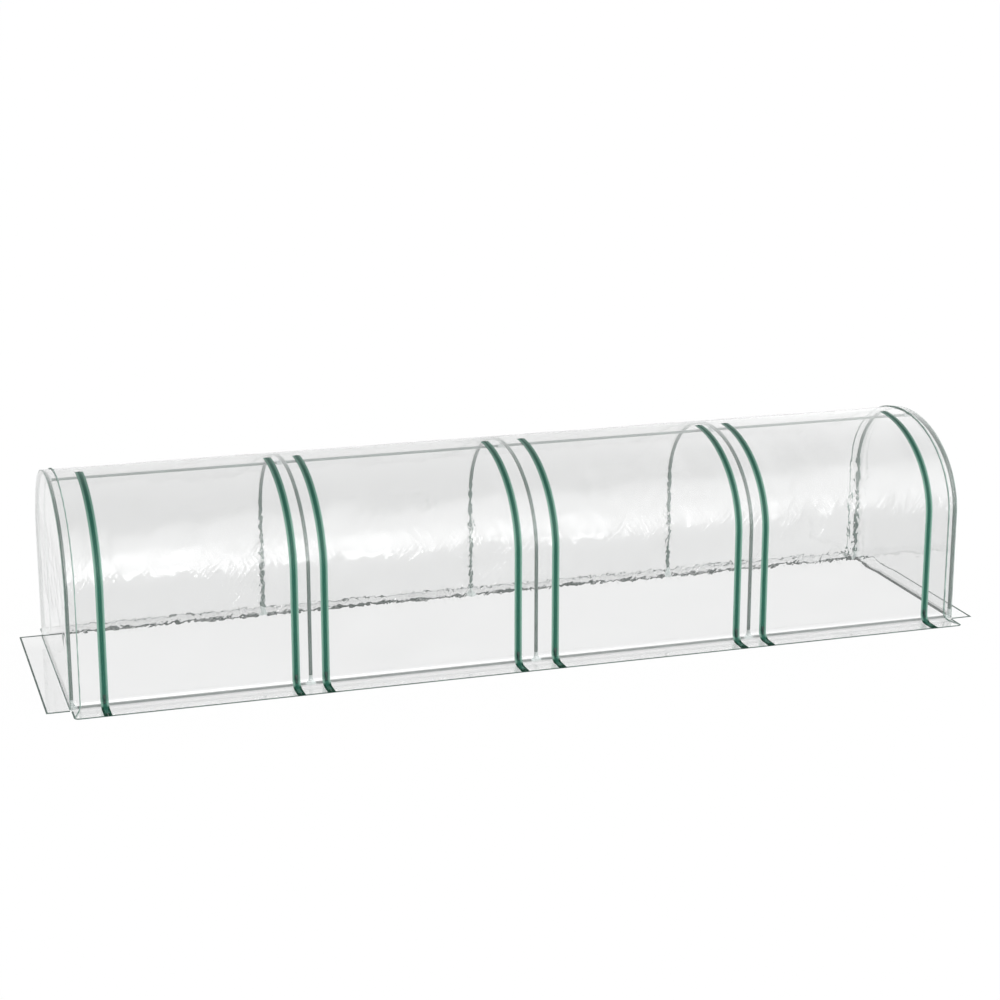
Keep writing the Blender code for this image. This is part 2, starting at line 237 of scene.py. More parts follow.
class NodeSheet:
    """Adds nodes to a material's or a world's node tree."""

    def __init__(self, tree):
        self.tree = tree
        tree.nodes.clear()

    def add(self, kind, settings=None, sockets=(), output=0):
        """A node with its settings first, then the values or links of its sockets."""
        node = self.tree.nodes.new(kind)
        for name, value in (settings or {}).items():
            setattr(node, name, value)
        pairs = sockets.items() if isinstance(sockets, dict) else enumerate(sockets)
        for key, value in pairs:
            socket = node.inputs[key]
            if isinstance(value, Wire):
                self.tree.links.new(value.socket, socket)
            else:
                socket.default_value = value
        return Wire(self, node.outputs[output]) if node.outputs else None

    def parts(self, vector):
        """The three numbers of a vector."""
        node = self.add("ShaderNodeSeparateXYZ", {}, [vector]).socket.node
        return [Wire(self, socket) for socket in node.outputs]

    def rays(self, *kinds):
        """1 for rays of these kinds and 0 for the others."""
        outputs = self.add("ShaderNodeLightPath").socket.node.outputs
        first, *others = (Wire(self, outputs[f"Is {kind} Ray"]) for kind in kinds)
        for other in others:
            first = first.math("MAXIMUM", other)
        return first

    def blend(self, share, first, second):
        """Mix two colours, which are the node's sockets 6 and 7 and its output 2."""
        first, second = (part if isinstance(part, Wire) else (*part, 1) for part in (first, second))
        return self.add("ShaderNodeMix", {"data_type": "RGBA"}, {0: share, 6: first, 7: second}, 2)

    def coordinates(self, scale=(1, 1, 1)):
        """Object coordinates, scaled."""
        place = self.add("ShaderNodeTexCoord", output="Object")
        return self.add("ShaderNodeMapping", {}, {"Vector": place, "Scale": scale})

    def stretched(self, slant):
        """Object coordinates in units of a long thin stroke that leans by an angle."""
        place = self.add("ShaderNodeTexCoord", output="Object")
        length, width = 0.100, 0.022
        return self.add("ShaderNodeMapping", {"vector_type": "TEXTURE"},
                        {"Vector": place, "Rotation": (0, math.radians(slant), 0),
                         "Scale": (length, length, width)})

    def stored(self, name):
        """A number that is stored at each point of the piece."""
        return self.add("ShaderNodeAttribute", {"attribute_name": name}, output="Fac")

    def noise(self, place, scale, detail=2.0, roughness=0.5):
        """Soft noise, finer with a larger scale."""
        return self.add("ShaderNodeTexNoise", {},
                        {"Vector": place, "Scale": scale, "Detail": detail,
                         "Roughness": roughness})

    def ridges(self, place, detail):
        """Noise with sharp crests."""
        return self.add("ShaderNodeTexNoise", {"noise_type": "RIDGED_MULTIFRACTAL"},
                        {"Vector": place, "Scale": 1.0, "Detail": detail, "Offset": 1.0})

    def bump(self, height, distance, strength=1.0):
        """A normal that shows a height, times a distance in metres, as relief."""
        return self.add("ShaderNodeBump", {},
                        {"Height": height, "Distance": distance, "Strength": strength})

    def principled(self, **sockets):
        """A surface with the named sockets, where _ stands for a space."""
        named = {key.replace("_", " "): value for key, value in sockets.items()}
        return self.add("ShaderNodeBsdfPrincipled", {}, named)

    def show(self, surface, kind="ShaderNodeOutputMaterial"):
        """Link the finished surface to the output."""
        self.add(kind, {}, {"Surface": surface})


def toned(colour, factor, lift=0.0):
    """A darker or paler tone of a colour."""
    return tuple(min(1, factor * part + lift) for part in colour)


def new_material(name):
    """A material with an empty node tree."""
    material = bpy.data.materials.get(name) or bpy.data.materials.new(name)
    material.use_nodes = True
    return material, NodeSheet(material.node_tree)


def coated_steel():
    """Green coated steel with a faint orange peel and small scuffs, and painted shade near the
    ground.
    """
    material, sheet = new_material("coated steel")
    place = sheet.coordinates()
    cloud = sheet.noise(place, 9.0, 4.0)
    peel = sheet.noise(place, 900.0)
    scuffs = sheet.noise(sheet.coordinates((1, 1, 6)), 160.0, 5.0, 0.7).between(0.62, 0.72)
    y, height = sheet.parts(place)[1:]
    # Painted shade on the tubes close to the ground, stronger at the back than on the front rails
    low = (1 - height.between(0.012, 0.040)) * (y.between(-0.47, -0.30) * 0.35 + 0.6)
    green = tuple(colours().steel)
    colour = sheet.blend(cloud.between(0.35, 0.7), toned(green, 0.75), green)
    colour = sheet.blend(low, colour, toned(green, 0.3))
    colour = sheet.blend(scuffs * 0.45, colour, toned(green, 1.5, 0.03))
    sheet.show(sheet.principled(
        Base_Color=colour, Roughness=0.30 + scuffs * 0.25 + cloud * 0.08, Coat_Weight=0.35,
        Coat_Roughness=0.22, Normal=sheet.bump(peel - scuffs * 0.6, 0.00012, 0.6)))
    return material


def pale_plastic():
    """Pale injection moulded plastic with a fine grain."""
    material, sheet = new_material("pale plastic")
    place = sheet.coordinates()
    cloud = sheet.noise(place, 60.0, 3.0)
    grain = sheet.noise(place, 1500.0)
    plain = tuple(colours().plastic)
    colour = sheet.blend(cloud.between(0.35, 0.75), plain, toned(plain, 0.80))
    sheet.show(sheet.principled(Base_Color=colour, Roughness=0.38 + grain * 0.14,
                                Normal=sheet.bump(grain, 0.00008, 0.7)))
    return material


def film_gloss(sheet, outside):
    """Clear film that lets lamps and daylight through, frosted where it folds at the ground."""
    x, y, height = sheet.parts(sheet.coordinates())
    film = tuple(colours().film)
    on_ground = 1 - height.between(0.002, 0.012)
    at_back = y.between(0.30, 0.46) * (1 - height.between(0.16, 0.38))
    tint = sheet.blend(on_ground, film, toned(film, 0.985))
    tint = sheet.blend(at_back, tint, toned(film, 1.045))
    in_front = 1 - y.between(-0.3, 0.0)
    fold = height.between(0.002, 0.006) * (1 - height.between(0.017, 0.026))
    frosted = on_ground * 0.05 + fold * in_front * 0.42
    at_end = x.math("ABSOLUTE").between(END_X, END_X + 0.006)
    glass = sheet.principled(
        Base_Color=tint, Roughness=frosted if outside else 0.0, IOR=1.5,
        Transmission_Weight=1.0, Coat_Weight=1 - at_end if outside else 0.0,
        Coat_Roughness=0.42, Coat_IOR=1.6,
        Normal=film_relief(sheet, x, height, at_end, outside))
    clear = sheet.add("ShaderNodeBsdfTransparent", {}, {"Color": (*film, 1)})
    return sheet.add("ShaderNodeMixShader", {}, (sheet.rays("Shadow", "Diffuse"), glass, clear))


def film_relief(sheet, x, height, at_end, outside):
    """Slack and creases of the film, and on its outer face the waves of its thickness.

    The waves are calm near the ridge, and low at the right end, where the end bar shows through.
    """
    place = sheet.coordinates()
    shoulder = height.between(0.24, 0.36) * (1 - height.between(0.60, 0.72))
    flat = height.between(0.010, 0.050) * (1 - at_end * 0.95)
    relief = sheet.noise(place, 9.0, 1.0) * 1.2
    patches = sheet.noise(place, 7.0, 1.0)
    for slant, low in ((58, 0.34), (-50, 0.40)):
        strokes = sheet.ridges(sheet.stretched(slant), 1.0)
        relief = relief + strokes * shoulder * patches.between(low, low + 0.20) * 3.0
    if outside:
        before_bar = x.between(1.46, 1.54) * (1 - height.between(0.26, 0.32))
        calm = (1 - height.between(0.68, 0.84)) * (1 - before_bar)
        waves = sheet.noise(place, 40.0, 1.0, 0.45) * 1.05 + sheet.noise(place, 12.0, 1.0) * 1.2
        relief = relief + waves * calm
    return sheet.bump(relief * flat, 0.00040)


def film_outside():
    """Outer face of the film."""
    material, sheet = new_material("film outside")
    sheet.show(film_gloss(sheet, True))
    return material


def film_inside():
    """Inner face of the film."""
    material, sheet = new_material("film inside")
    sheet.show(film_gloss(sheet, False))
    return material


def doubled_film(name, shade):
    """Doubled film of a hem or weld, finely marked and paler in patches."""
    material, sheet = new_material(name)
    place = sheet.coordinates()
    marks = sheet.noise(place, 420.0)
    patches = sheet.noise(place, 14.0, 3.0)
    colour = sheet.blend(patches.between(0.45, 0.75), tuple(shade), toned(shade, 1.5, 0.02))
    sheet.show(sheet.principled(Base_Color=colour, Roughness=0.42 + marks * 0.15,
                                Specular_IOR_Level=0.3,
                                Normal=sheet.bump(marks, 0.0002, 0.6)))
    return material


def hem_weld():
    """The doubled film of a hem."""
    return doubled_film("hem weld", colours().hem)


def seam_weld():
    """The doubled film of a welded seam."""
    return doubled_film("seam weld", colours().seam)


def zip_tape():
    """Woven zip tape: bare in the middle, under film at its margins, with painted shade on the skirt
    and near the ridge.
    """
    material, sheet = new_material("zip tape")
    across = sheet.stored("across")
    along = sheet.stored("along")
    edge = sizes().core_half_width
    skirt_start = cover_line().length - SKIRT_REACH + HALF_WIDTH + sizes().film_offset
    margin = across.between(edge - 0.0002, edge + 0.0008)
    on_skirt = along.between(skirt_start + 0.004, skirt_start + 0.022)
    thread = 0.0011
    pace = 2 * math.pi / thread
    weave = (along * pace).math("SINE") * (across * pace).math("SINE") * 0.5 + 0.5
    shade = sheet.noise(sheet.coordinates(), 30.0, 3.0)
    green, faded = tuple(colours().zip_core), tuple(colours().zip_margin)
    # dark is the painted shade of the tape on the skirt, and the dark of the weave
    dark = tuple(colours().zip_weave_and_shade)
    core = sheet.blend(weave * 0.5 + shade * 0.3, dark, toned(green, 1.25))
    # Painted shade on the bare tape near the ridge, where it faces up
    core = sheet.blend(along.between(0.10, 0.75), toned(green, 0.45), core)
    pale = sheet.blend(across.between(edge + 0.002, sizes().tape_half_width),
                       faded, toned(faded, 1.35, 0.04))
    # Painted shade on the tape's margins near the ridge
    pale = sheet.blend(along.between(0.10, 0.62), toned(faded, 0.70), pale)
    # Painted shade on the tape where it lies on the skirt
    colour = sheet.blend(on_skirt, sheet.blend(margin, core, pale), dark)
    bare = 1 - margin
    sheet.show(sheet.principled(
        Base_Color=colour, Roughness=0.46 + bare * 0.35 + on_skirt * 0.30 + shade * 0.08,
        Specular_IOR_Level=0.22, Coat_Weight=margin * (1 - on_skirt) * 0.25,
        Coat_Roughness=0.15, Normal=sheet.bump(weave * (bare * 0.8 + 0.2), 0.00025, 0.8)))
    return material


def zip_teeth():
    """Moulded teeth with a slight sheen, and painted shade near the ridge."""
    material, sheet = new_material("zip teeth")
    cloud = sheet.noise(sheet.coordinates(), 240.0)
    green = tuple(colours().zip_teeth)
    colour = sheet.blend(cloud.between(0.3, 0.7), toned(green, 0.75), green)
    # Painted shade on the teeth near the ridge, where they face up
    colour = sheet.blend(sheet.stored("along").between(0.10, 0.75),
                         toned(colours().zip_core, 0.45), colour)
    sheet.show(sheet.principled(Base_Color=colour, Roughness=0.34 + cloud * 0.12,
                                Normal=sheet.bump(cloud, 0.0001, 0.5)))
    return material


def sewing_thread():
    """Twisted green thread."""
    material, sheet = new_material("sewing thread")
    run = sheet.stored("along") + sheet.stored("across") * 1.6
    turn = 0.0009
    twist = (run * (2 * math.pi / turn)).math("SINE") * 0.5 + 0.5
    green = tuple(colours().zip_core)
    colour = sheet.blend(twist, green, toned(green, 1.6, 0.02))
    sheet.show(sheet.principled(Base_Color=colour, Roughness=0.65,
                                Normal=sheet.bump(twist, 0.0002, 0.7)))
    return material


def slider_paint():
    """Dark green paint with small paler specks of wear."""
    material, sheet = new_material("slider paint")
    place = sheet.coordinates()
    cloud = sheet.noise(place, 130.0, 4.0)
    grain = sheet.noise(place, 1300.0)
    wear = sheet.noise(place, 420.0, 5.0, 0.7).between(0.60, 0.72)
    paint = tuple(colours().slider)
    colour = sheet.blend(cloud.between(0.35, 0.7), toned(paint, 0.7), paint)
    colour = sheet.blend(wear * 0.6, colour, toned(paint, 2.4, 0.03))
    sheet.show(sheet.principled(Base_Color=colour, Roughness=0.26 + wear * 0.22 + grain * 0.06,
                                Coat_Weight=0.5, Coat_Roughness=0.15,
                                Normal=sheet.bump(grain - wear * 0.5, 0.00006, 0.6)))
    return material


MAKERS = {
    "steel": coated_steel, "plastic": pale_plastic, "outside": film_outside,
    "inside": film_inside, "hem": hem_weld, "seam": seam_weld, "tape": zip_tape,
    "teeth": zip_teeth, "thread": sewing_thread, "slider": slider_paint,
}
made_materials = {}


def finish_with(piece, *looks):
    """Give a piece its materials, in the order of its slots."""
    piece.data.materials.clear()
    for look in looks:
        if look not in made_materials:
            made_materials[look] = MAKERS[look]()
        piece.data.materials.append(made_materials[look])


# Modelling by operators

def select_only(*pieces):
    """Select these objects, with the last one active."""
    bpy.ops.object.select_all(action="DESELECT")
    for piece in pieces:
        piece.select_set(True)
    bpy.context.view_layer.objects.active = pieces[-1]


def added():
    """The object that an add operator has just made."""
    return bpy.context.view_layer.objects.active


def tidy_shell(piece, merge=FINE_MERGE):
    """Merge doubles and turn the faces outwards."""
    select_only(piece)
    bpy.ops.object.mode_set(mode="EDIT")
    bpy.ops.mesh.select_all(action="SELECT")
    bpy.ops.mesh.remove_doubles(threshold=merge)
    bpy.ops.mesh.normals_make_consistent(inside=False)
    bpy.ops.object.mode_set(mode="OBJECT")
    return piece


def modify(piece, kind, **settings):
    """Add a modifier with its settings and apply it."""
    select_only(piece)
    modifier = piece.modifiers.new(kind.title(), kind)
    for name, value in settings.items():
        setattr(modifier, name, value)
    bpy.ops.object.modifier_apply(modifier=modifier.name)
    return piece


def combine(base, *others, operation="UNION"):
    """Join other solids to the base, or cut them out of it."""
    for other in others:
        modify(base, "BOOLEAN", operation=operation, solver="EXACT", object=other)
        bpy.data.objects.remove(other, do_unlink=True)
    return base


def join(base, *others):
    """Put other shells into the base's mesh, with their materials."""
    if others:
        select_only(*others, base)
        bpy.ops.object.join()
    return base


def smooth(piece, degrees=38):
    """Shade a piece smooth, but for edges that turn by more than an angle."""
    select_only(piece)
    bpy.ops.object.shade_smooth_by_angle(angle=math.radians(degrees))
    return piece


def settle(piece, matrix=None):
    """Move a piece's place into its mesh, and then the mesh by a matrix."""
    select_only(piece)
    bpy.ops.object.transform_apply(location=True, rotation=True, scale=True)
    if matrix is not None:
        piece.data.transform(matrix)
        if matrix.determinant() < 0:
            piece.data.flip_normals()
    return piece


def turned(name, stations, sides=32, bore=False):
    """A round part about +Z through (radius, height) stations, extruded ring by ring.

    With bore the last ring is bridged to the first, so the stations go up the
    outside and down the inside.
    """
    bpy.ops.object.select_all(action="DESELECT")
    radius, height = stations[0]
    bpy.ops.mesh.primitive_circle_add(vertices=sides, radius=radius, location=(0, 0, 0),
                                      fill_type="NOTHING" if bore else "NGON")
    piece = added()
    piece.name = name
    bpy.ops.object.mode_set(mode="EDIT")
    bpy.ops.mesh.select_all(action="SELECT")
    bpy.ops.transform.translate(value=(0, 0, height))
    for new_radius, new_height in stations[1:]:
        bpy.ops.mesh.extrude_region_move(
            TRANSFORM_OT_translate={"value": (0, 0, new_height - height)})
        share = new_radius / radius
        bpy.ops.transform.resize(value=(share, share, 1), center_override=(0, 0, new_height))
        radius, height = new_radius, new_height
    if bore:
        mesh = bmesh.from_edit_mesh(piece.data)
        bpy.ops.mesh.select_mode(type="EDGE")
        bpy.ops.mesh.select_all(action="DESELECT")
        for edge in mesh.edges:
            edge.select_set(edge.is_boundary)
        bmesh.update_edit_mesh(piece.data)
        bpy.ops.mesh.bridge_edge_loops()
        bpy.ops.mesh.select_mode(type="VERT")
    bpy.ops.object.mode_set(mode="OBJECT")
    return tidy_shell(piece)


def block(name, low, high, bevel=0.0, segments=2):
    """A box between two corners, with bevelled edges."""
    bpy.ops.object.select_all(action="DESELECT")
    low, high = Vector(low), Vector(high)
    bpy.ops.mesh.primitive_cube_add(size=1, location=(low + high) / 2, scale=high - low)
    piece = added()
    piece.name = name
    settle(piece)
    if bevel:
        bpy.ops.object.mode_set(mode="EDIT")
        bpy.ops.mesh.select_all(action="SELECT")
        bpy.ops.mesh.bevel(offset=bevel, segments=segments, affect="EDGES")
        bpy.ops.object.mode_set(mode="OBJECT")
    return piece


def narrowed(piece, axis, share, above=-math.inf, below=math.inf):
    """Narrow the part of a piece between two heights, across X (0) or Y (1)."""
    for vert in piece.data.vertices:
        if above < vert.co.z < below:
            vert.co[axis] *= share
    return piece


def drawn(name, width, height, marks):
    """A flat bar along +Y through the marks, centred on X and standing on Z = 0."""
    bpy.ops.object.select_all(action="DESELECT")
    bpy.ops.mesh.primitive_plane_add(size=1, location=(0, marks[0], height / 2),
                                     rotation=(QUARTER, 0, 0))
    piece = added()
    piece.name = name
    piece.scale = (width, height, 1)
    settle(piece)
    bpy.ops.object.mode_set(mode="EDIT")
    bpy.ops.mesh.select_all(action="SELECT")
    for near, far in zip(marks, marks[1:]):
        bpy.ops.mesh.extrude_region_move(TRANSFORM_OT_translate={"value": (0, far - near, 0)})
    bpy.ops.object.mode_set(mode="OBJECT")
    return tidy_shell(piece)


def linked(name, data):
    """A new object in the scene."""
    piece = bpy.data.objects.new(name, data)
    bpy.context.scene.collection.objects.link(piece)
    return piece


def shell_of(name, shape):
    """An object with the mesh of a finished bmesh."""
    mesh = bpy.data.meshes.new(name)
    shape.to_mesh(mesh)
    shape.free()
    return linked(name, mesh)


def copied(template, name, matrix=None, line=None):
    """A copy with its own mesh, wrapped onto a line and moved into place."""
    piece = linked(name, template.data.copy())
    piece.data.name = name
    if line is not None:
        wrap(piece, line)
    return settle(piece, matrix)


def discard(*pieces):
    """Remove pieces that only served as templates."""
    for piece in pieces:
        bpy.data.objects.remove(piece, do_unlink=True)


def points_of(mesh):
    """A mesh's points as rows of X, Y and Z."""
    flat = np.empty(len(mesh.vertices) * 3)
    mesh.vertices.foreach_get("co", flat)
    return flat.reshape(-1, 3)


def declare(piece, body, node):
    """Say what a finished piece moves with, which CAD node it replaces."""
    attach(piece, body)
    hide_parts(node)


# The cover's line, from the ridge down to the edge of the skirt

class Line:
    """A line in the YZ plane with its outward normals, measured along its length."""

    def __init__(self, points, normals):
        self.points = np.array(points)
        self.normals = np.array(normals)
        steps = np.linalg.norm(np.diff(self.points, axis=0), axis=1)
        self.marks = np.concatenate([[0], np.cumsum(steps)])
        self.length = float(self.marks[-1])

    def place(self, x, along, height):
        """Points at x, a length along the line and a height off it."""
        y = np.interp(along, self.marks, self.points[:, 0])
        z = np.interp(along, self.marks, self.points[:, 1])
        across = np.interp(along, self.marks, self.normals[:, 0])
        up = np.interp(along, self.marks, self.normals[:, 1])
        return np.stack([x, y + across * height, z + up * height], axis=-1)

    def resampled(self, step):
        """The same line with points about one step apart."""
        count = max(2, round(self.length / step) + 1)
        marks = np.linspace(0, self.length, count)
        flat = self.place(np.zeros(count), marks, np.zeros(count))
        normal = self.place(np.zeros(count), marks, np.ones(count)) - flat
        return Line(flat[:, 1:], normal[:, 1:])


def arch_line(offset, steps):
    """Points and normals down the front of the arch, at an offset from the hoop."""
    points = []
    normals = []
    rise = sizes().arch_rise
    for angle in np.linspace(QUARTER, 0, steps):
        normal = Vector((-rise * math.cos(angle), HALF_WIDTH * math.sin(angle))).normalized()
        centre = Vector((-HALF_WIDTH * math.cos(angle),
                         sizes().leg_height + rise * math.sin(angle)))
        points.append(centre + normal * offset)
        normals.append(normal)
    return points, normals


def cover_line(fold=None, reach=None):
    """The middle of the film, from the ridge over the arch and the fold to the skirt's edge."""
    fold = sizes().fold_radius if fold is None else fold
    reach = SKIRT_REACH if reach is None else reach
    wall = HALF_WIDTH + sizes().film_offset
    points, normals = arch_line(sizes().film_offset, 90)
    ends = [len(points) - 1]
    for height in np.linspace(sizes().leg_height, GROUND_FILM + fold, 40)[1:]:
        points.append((-wall, height))
        normals.append((-1, 0))
    ends.append(len(points) - 1)
    for angle in np.linspace(0, QUARTER, 12)[1:]:
        points.append((-wall - fold * (1 - math.cos(angle)),
                       GROUND_FILM + fold * (1 - math.sin(angle))))
        normals.append((-math.cos(angle), math.sin(angle)))
    ends.append(len(points) - 1)
    for y in np.linspace(wall + fold, reach, 8)[1:]:
        points.append((-y, GROUND_FILM))
        normals.append((0, 1))
    line = Line(points, normals)
    line.arch_end, line.leg_end, line.fold_end = line.marks[ends]
    return line


def hoop_line():
    """A hoop's centreline from the top of its front foot to the top of its rear foot."""
    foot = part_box("hoop_1")[0].z
    points, normals = arch_line(0, 46)
    half = [((-HALF_WIDTH, height), (-1, 0))
            for height in np.linspace(foot, sizes().leg_height, 5)[:-1]]
    half += list(zip(reversed(points), reversed(normals)))
    other = [((-y, z), (-across, up)) for (y, z), (across, up) in reversed(half[:-1])]
    points, normals = zip(*(half + other))
    return Line(points, normals)


def wrap(piece, line):
    """Bend a flat piece, whose Y is a length along the line and Z a height off it.

    The bend mirrors the piece, so its faces are turned round again.
    """
    mesh = piece.data
    bent = line.place(*points_of(mesh).T)
    mesh.vertices.foreach_set("co", bent.ravel())
    mesh.flip_normals()
    mesh.update()
    return piece


# Film sheets

def sheet_mesh(name, points, outwards):
    """A sheet through a grid of points, whose faces point to the given side."""
    columns, rows = points.shape[:2]
    index = np.arange(columns * rows).reshape(columns, rows)
    corners = [index[:-1, :-1], index[1:, :-1], index[1:, 1:], index[:-1, 1:]]
    if outwards:
        corners.reverse()
    faces = np.stack(corners, axis=-1).reshape(-1, 4)
    mesh = bpy.data.meshes.new(name)
    mesh.from_pydata(points.reshape(-1, 3).tolist(), [], faces.tolist())
    return linked(name, mesh)


def spaced(low, high, step):
    """Places from low to high, about one step apart."""
    return np.linspace(low, high, max(2, round((high - low) / step) + 1))


def soft_step(values, low, high):
    """0 below low, 1 above high and smooth in between."""
    share = np.clip((values - low) / (high - low), 0, 1)
    return share * share * (3 - 2 * share)


def held_mask(x, along):
    """How free the film is to move: 0 at the hoops, the zips and the ridge."""
    free = soft_step(along, 0.04, 0.34)
    for held in (*HOOP_X, *zip_places()):
        free = free * soft_step(np.abs(x - held), 0.018, 0.075)
    return free


def ripples(x, along, seed):
    """Long low waves of slack film."""
    dice = np.random.RandomState(seed)
    total = np.zeros_like(x)
    longest, tallest = 0.55, 0.0011
    for _ in range(16):
        wave = dice.uniform(0.09, longest)
        heading = dice.uniform(0, math.pi)
        phase = dice.uniform(0, 2 * math.pi)
        place = x * math.cos(heading) + along * math.sin(heading)
        total += tallest * wave / longest * np.sin(2 * math.pi * place / wave + phase)
    return total


def creases(x, along, seed, count, low, high, tall):
    """Short sharp folds, scattered over the sheet between two lengths along it."""
    dice = np.random.RandomState(seed)
    total = np.zeros_like(x)
    for _ in range(count):
        middle_x = dice.uniform(x.min(), x.max())
        middle_along = dice.uniform(low, high)
        heading = dice.choice((-1, 1)) * math.radians(dice.uniform(35, 80))
        reach = dice.uniform(0.025, 0.09)
        width = dice.uniform(0.008, 0.016)
        rise = tall * dice.uniform(0.4, 1.0) * dice.choice((-1, 1))
        beside, below = x - middle_x, along - middle_along
        run = beside * math.cos(heading) + below * math.sin(heading)
        off = below * math.cos(heading) - beside * math.sin(heading)
        total += rise * np.exp(-np.abs(off) / width) * np.exp(-(run / reach) ** 2)
    return total


def film_sheet(name, low_x, high_x, seed, step, mirror=False):
    """A sheet of film from the ridge to the skirt's edge, with ripples and creases."""
    line = cover_line()
    fine = line.resampled(step)
    x, along = np.meshgrid(spaced(low_x, high_x, step), fine.marks, indexing="ij")
    width = high_x - low_x
    # Many small folds on the shoulder, and a few low ones from the ridge to the skirt
    height = ripples(x, along, seed)
    height += creases(x, along, seed + 50, round(220 * width), 0.46, 0.95, 0.0016)
    height += creases(x, along, seed + 90, round(20 * width), 0.20, 1.15, 0.0009)
    bottom = line.length - (SKIRT_REACH - HALF_WIDTH)
    still = 1 - soft_step(along, bottom - 0.10, bottom - 0.03)
    points = fine.place(x, along, height * held_mask(x, along) * still)
    if mirror:
        points[..., 1] *= -1
    return sheet_mesh(name, points, outwards=not mirror)


def thicken(piece):
    """Give a sheet its thickness, with the inner face and the rim as the second material."""
    return modify(piece, "SOLIDIFY", thickness=sizes().film_thickness, offset=0,
                  use_rim=True, material_offset=1, material_offset_rim=1)


def hem(name, route):
    """A flat weld along a route on the ground, mitred at its corners, just inside it."""
    width, height = sizes().hem_width, sizes().hem_height
    route = [Vector(spot) for spot in route]
    inner = []
    top_share = 0.65
    for index, spot in enumerate(route):
        before = route[max(index - 1, 0)]
        after = route[min(index + 1, len(route) - 1)]
        first = (spot - before).normalized() if index else (after - spot).normalized()
        second = (after - spot).normalized() if index < len(route) - 1 else first
        left = (Vector((-first.y, first.x)) + Vector((-second.y, second.x))).normalized()
        reach = width / max(0.3, left.dot(Vector((-first.y, first.x))))
        inner.append(spot + left * reach)
    shape = bmesh.new()
    rings = []
    for outer, within in zip(route, inner):
        middle = (outer + within) / 2
        corners = [(*outer, 0.0), (*within, 0.0),
                   (*(middle * (1 - top_share) + within * top_share), height),
                   (*(middle * (1 - top_share) + outer * top_share), height)]
        rings.append([shape.verts.new(corner) for corner in corners])
    for ring, following in zip(rings, rings[1:]):
        for side in range(4):
            beside = (side + 1) % 4
            shape.faces.new((ring[side], ring[beside], following[beside], following[side]))
    shape.faces.new(rings[0])
    shape.faces.new(rings[-1])
    bmesh.ops.recalc_face_normals(shape, faces=shape.faces)
    piece = shell_of(name, shape)
    finish_with(piece, "hem")
    return piece


def hinge_blend(piece):
    """Bake a door piece's place into its mesh."""
    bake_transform(piece)


def cover_film(name, node, seed, step, bay=None, at_back=False):
    """A finished sheet of the cover with its hem: the roof, a front strip or a bay's door."""
    low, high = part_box(node)
    film = film_sheet(name, low.x, high.x, seed, step, at_back)
    edge = [(low.x, -SKIRT_REACH), (high.x, -SKIRT_REACH)]
    if at_back:
        edge = [(x, -y) for x, y in reversed(edge)]
    finish_with(film, "outside", "inside")
    thicken(film)
    join(film, hem("cover_hem", edge))
    smooth(film, 60)
    if bay is None:
        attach(film, "tunnel")
    else:
        hinge_blend(film)
    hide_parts(node)
    cover_line().length


def zip_places():
    """X of the zips' middles, from left to right."""
    places = []
    for index in range(1, 2 * BAYS + 1):
        low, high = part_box(f"zip_{index}")
        places.append(low.x + ZIP_EDGE if index % 2 else high.x - ZIP_EDGE)
    return places


# Pieces

class TUNNEL_OT_stage(bpy.types.Operator):
    """Floor, light and camera"""
    bl_idname = "tunnel.stage"
    bl_label = "Stage"

    def execute(self, context):
        make_floor()
        make_world()
        make_camera()
        return {"FINISHED"}


def make_floor():
    """A white floor that keeps a faint shadow of the tunnel."""
    span, depth = 600, 0.0004
    bpy.ops.object.select_all(action="DESELECT")
    bpy.ops.mesh.primitive_plane_add(size=span, location=(0, 0, 0))
    floor = added()
    floor.name = "studio_floor"
    floor.location.z = -depth
    settle(floor)
    material, sheet = new_material("studio floor")
    plain = sheet.add("ShaderNodeBsdfDiffuse", {}, {"Color": (0.86, 0.86, 0.86, 1)})
    white = sheet.add("ShaderNodeEmission", {}, {"Color": (1, 1, 1, 1), "Strength": 1.0})
    seen = sheet.rays("Camera", "Glossy", "Transmission")
    sheet.show(sheet.add("ShaderNodeMixShader", {}, (seen * 0.97, plain, white)))
    floor.data.materials.append(material)


def make_world():
    """Even daylight with a soft window and a bright strip low in front, and a lamp's glow.

    The film mirrors all of it, and a viewer sees plain white through the film.
    """
    world = bpy.data.worlds.new("studio")
    bpy.context.scene.world = world
    world.use_nodes = True
    sheet = NodeSheet(world.node_tree)
    x, y, z = sheet.parts(sheet.add("ShaderNodeTexCoord", output="Generated"))
    front = ((1 - y.between(-0.5, 0.0)) * (1 - x.between(0.10, 0.52)) * x.between(-0.35, -0.10))
    window = z.between(-0.02, 0.22) * (1 - z.between(0.40, 0.74)) * front
    strip = z.between(-0.01, 0.08) * (1 - z.between(0.14, 0.20)) * front
    azimuth, elevation = math.radians(27), math.radians(42)
    lamp = Vector((math.sin(azimuth) * math.cos(elevation),
                   -math.cos(azimuth) * math.cos(elevation), math.sin(elevation)))
    glow = (x * lamp.x + y * lamp.y + z * lamp.z).between(0.80, 0.985)
    back = y.between(-0.1, 0.6)
    right = x.between(0.32, 0.48)
    sky = 0.64 + back * 0.34 + right * 0.55 + window * 3.4 + strip * 5.2 + glow * 1.7
    room = sheet.add("ShaderNodeBackground", {}, {"Color": (1, 1, 1, 1), "Strength": sky})
    white = sheet.add("ShaderNodeBackground", {}, {"Color": (1, 1, 1, 1), "Strength": 1.0})
    seen = sheet.rays("Camera", "Transmission")
    sheet.show(sheet.add("ShaderNodeMixShader", {}, (seen, room, white)), "ShaderNodeOutputWorld")


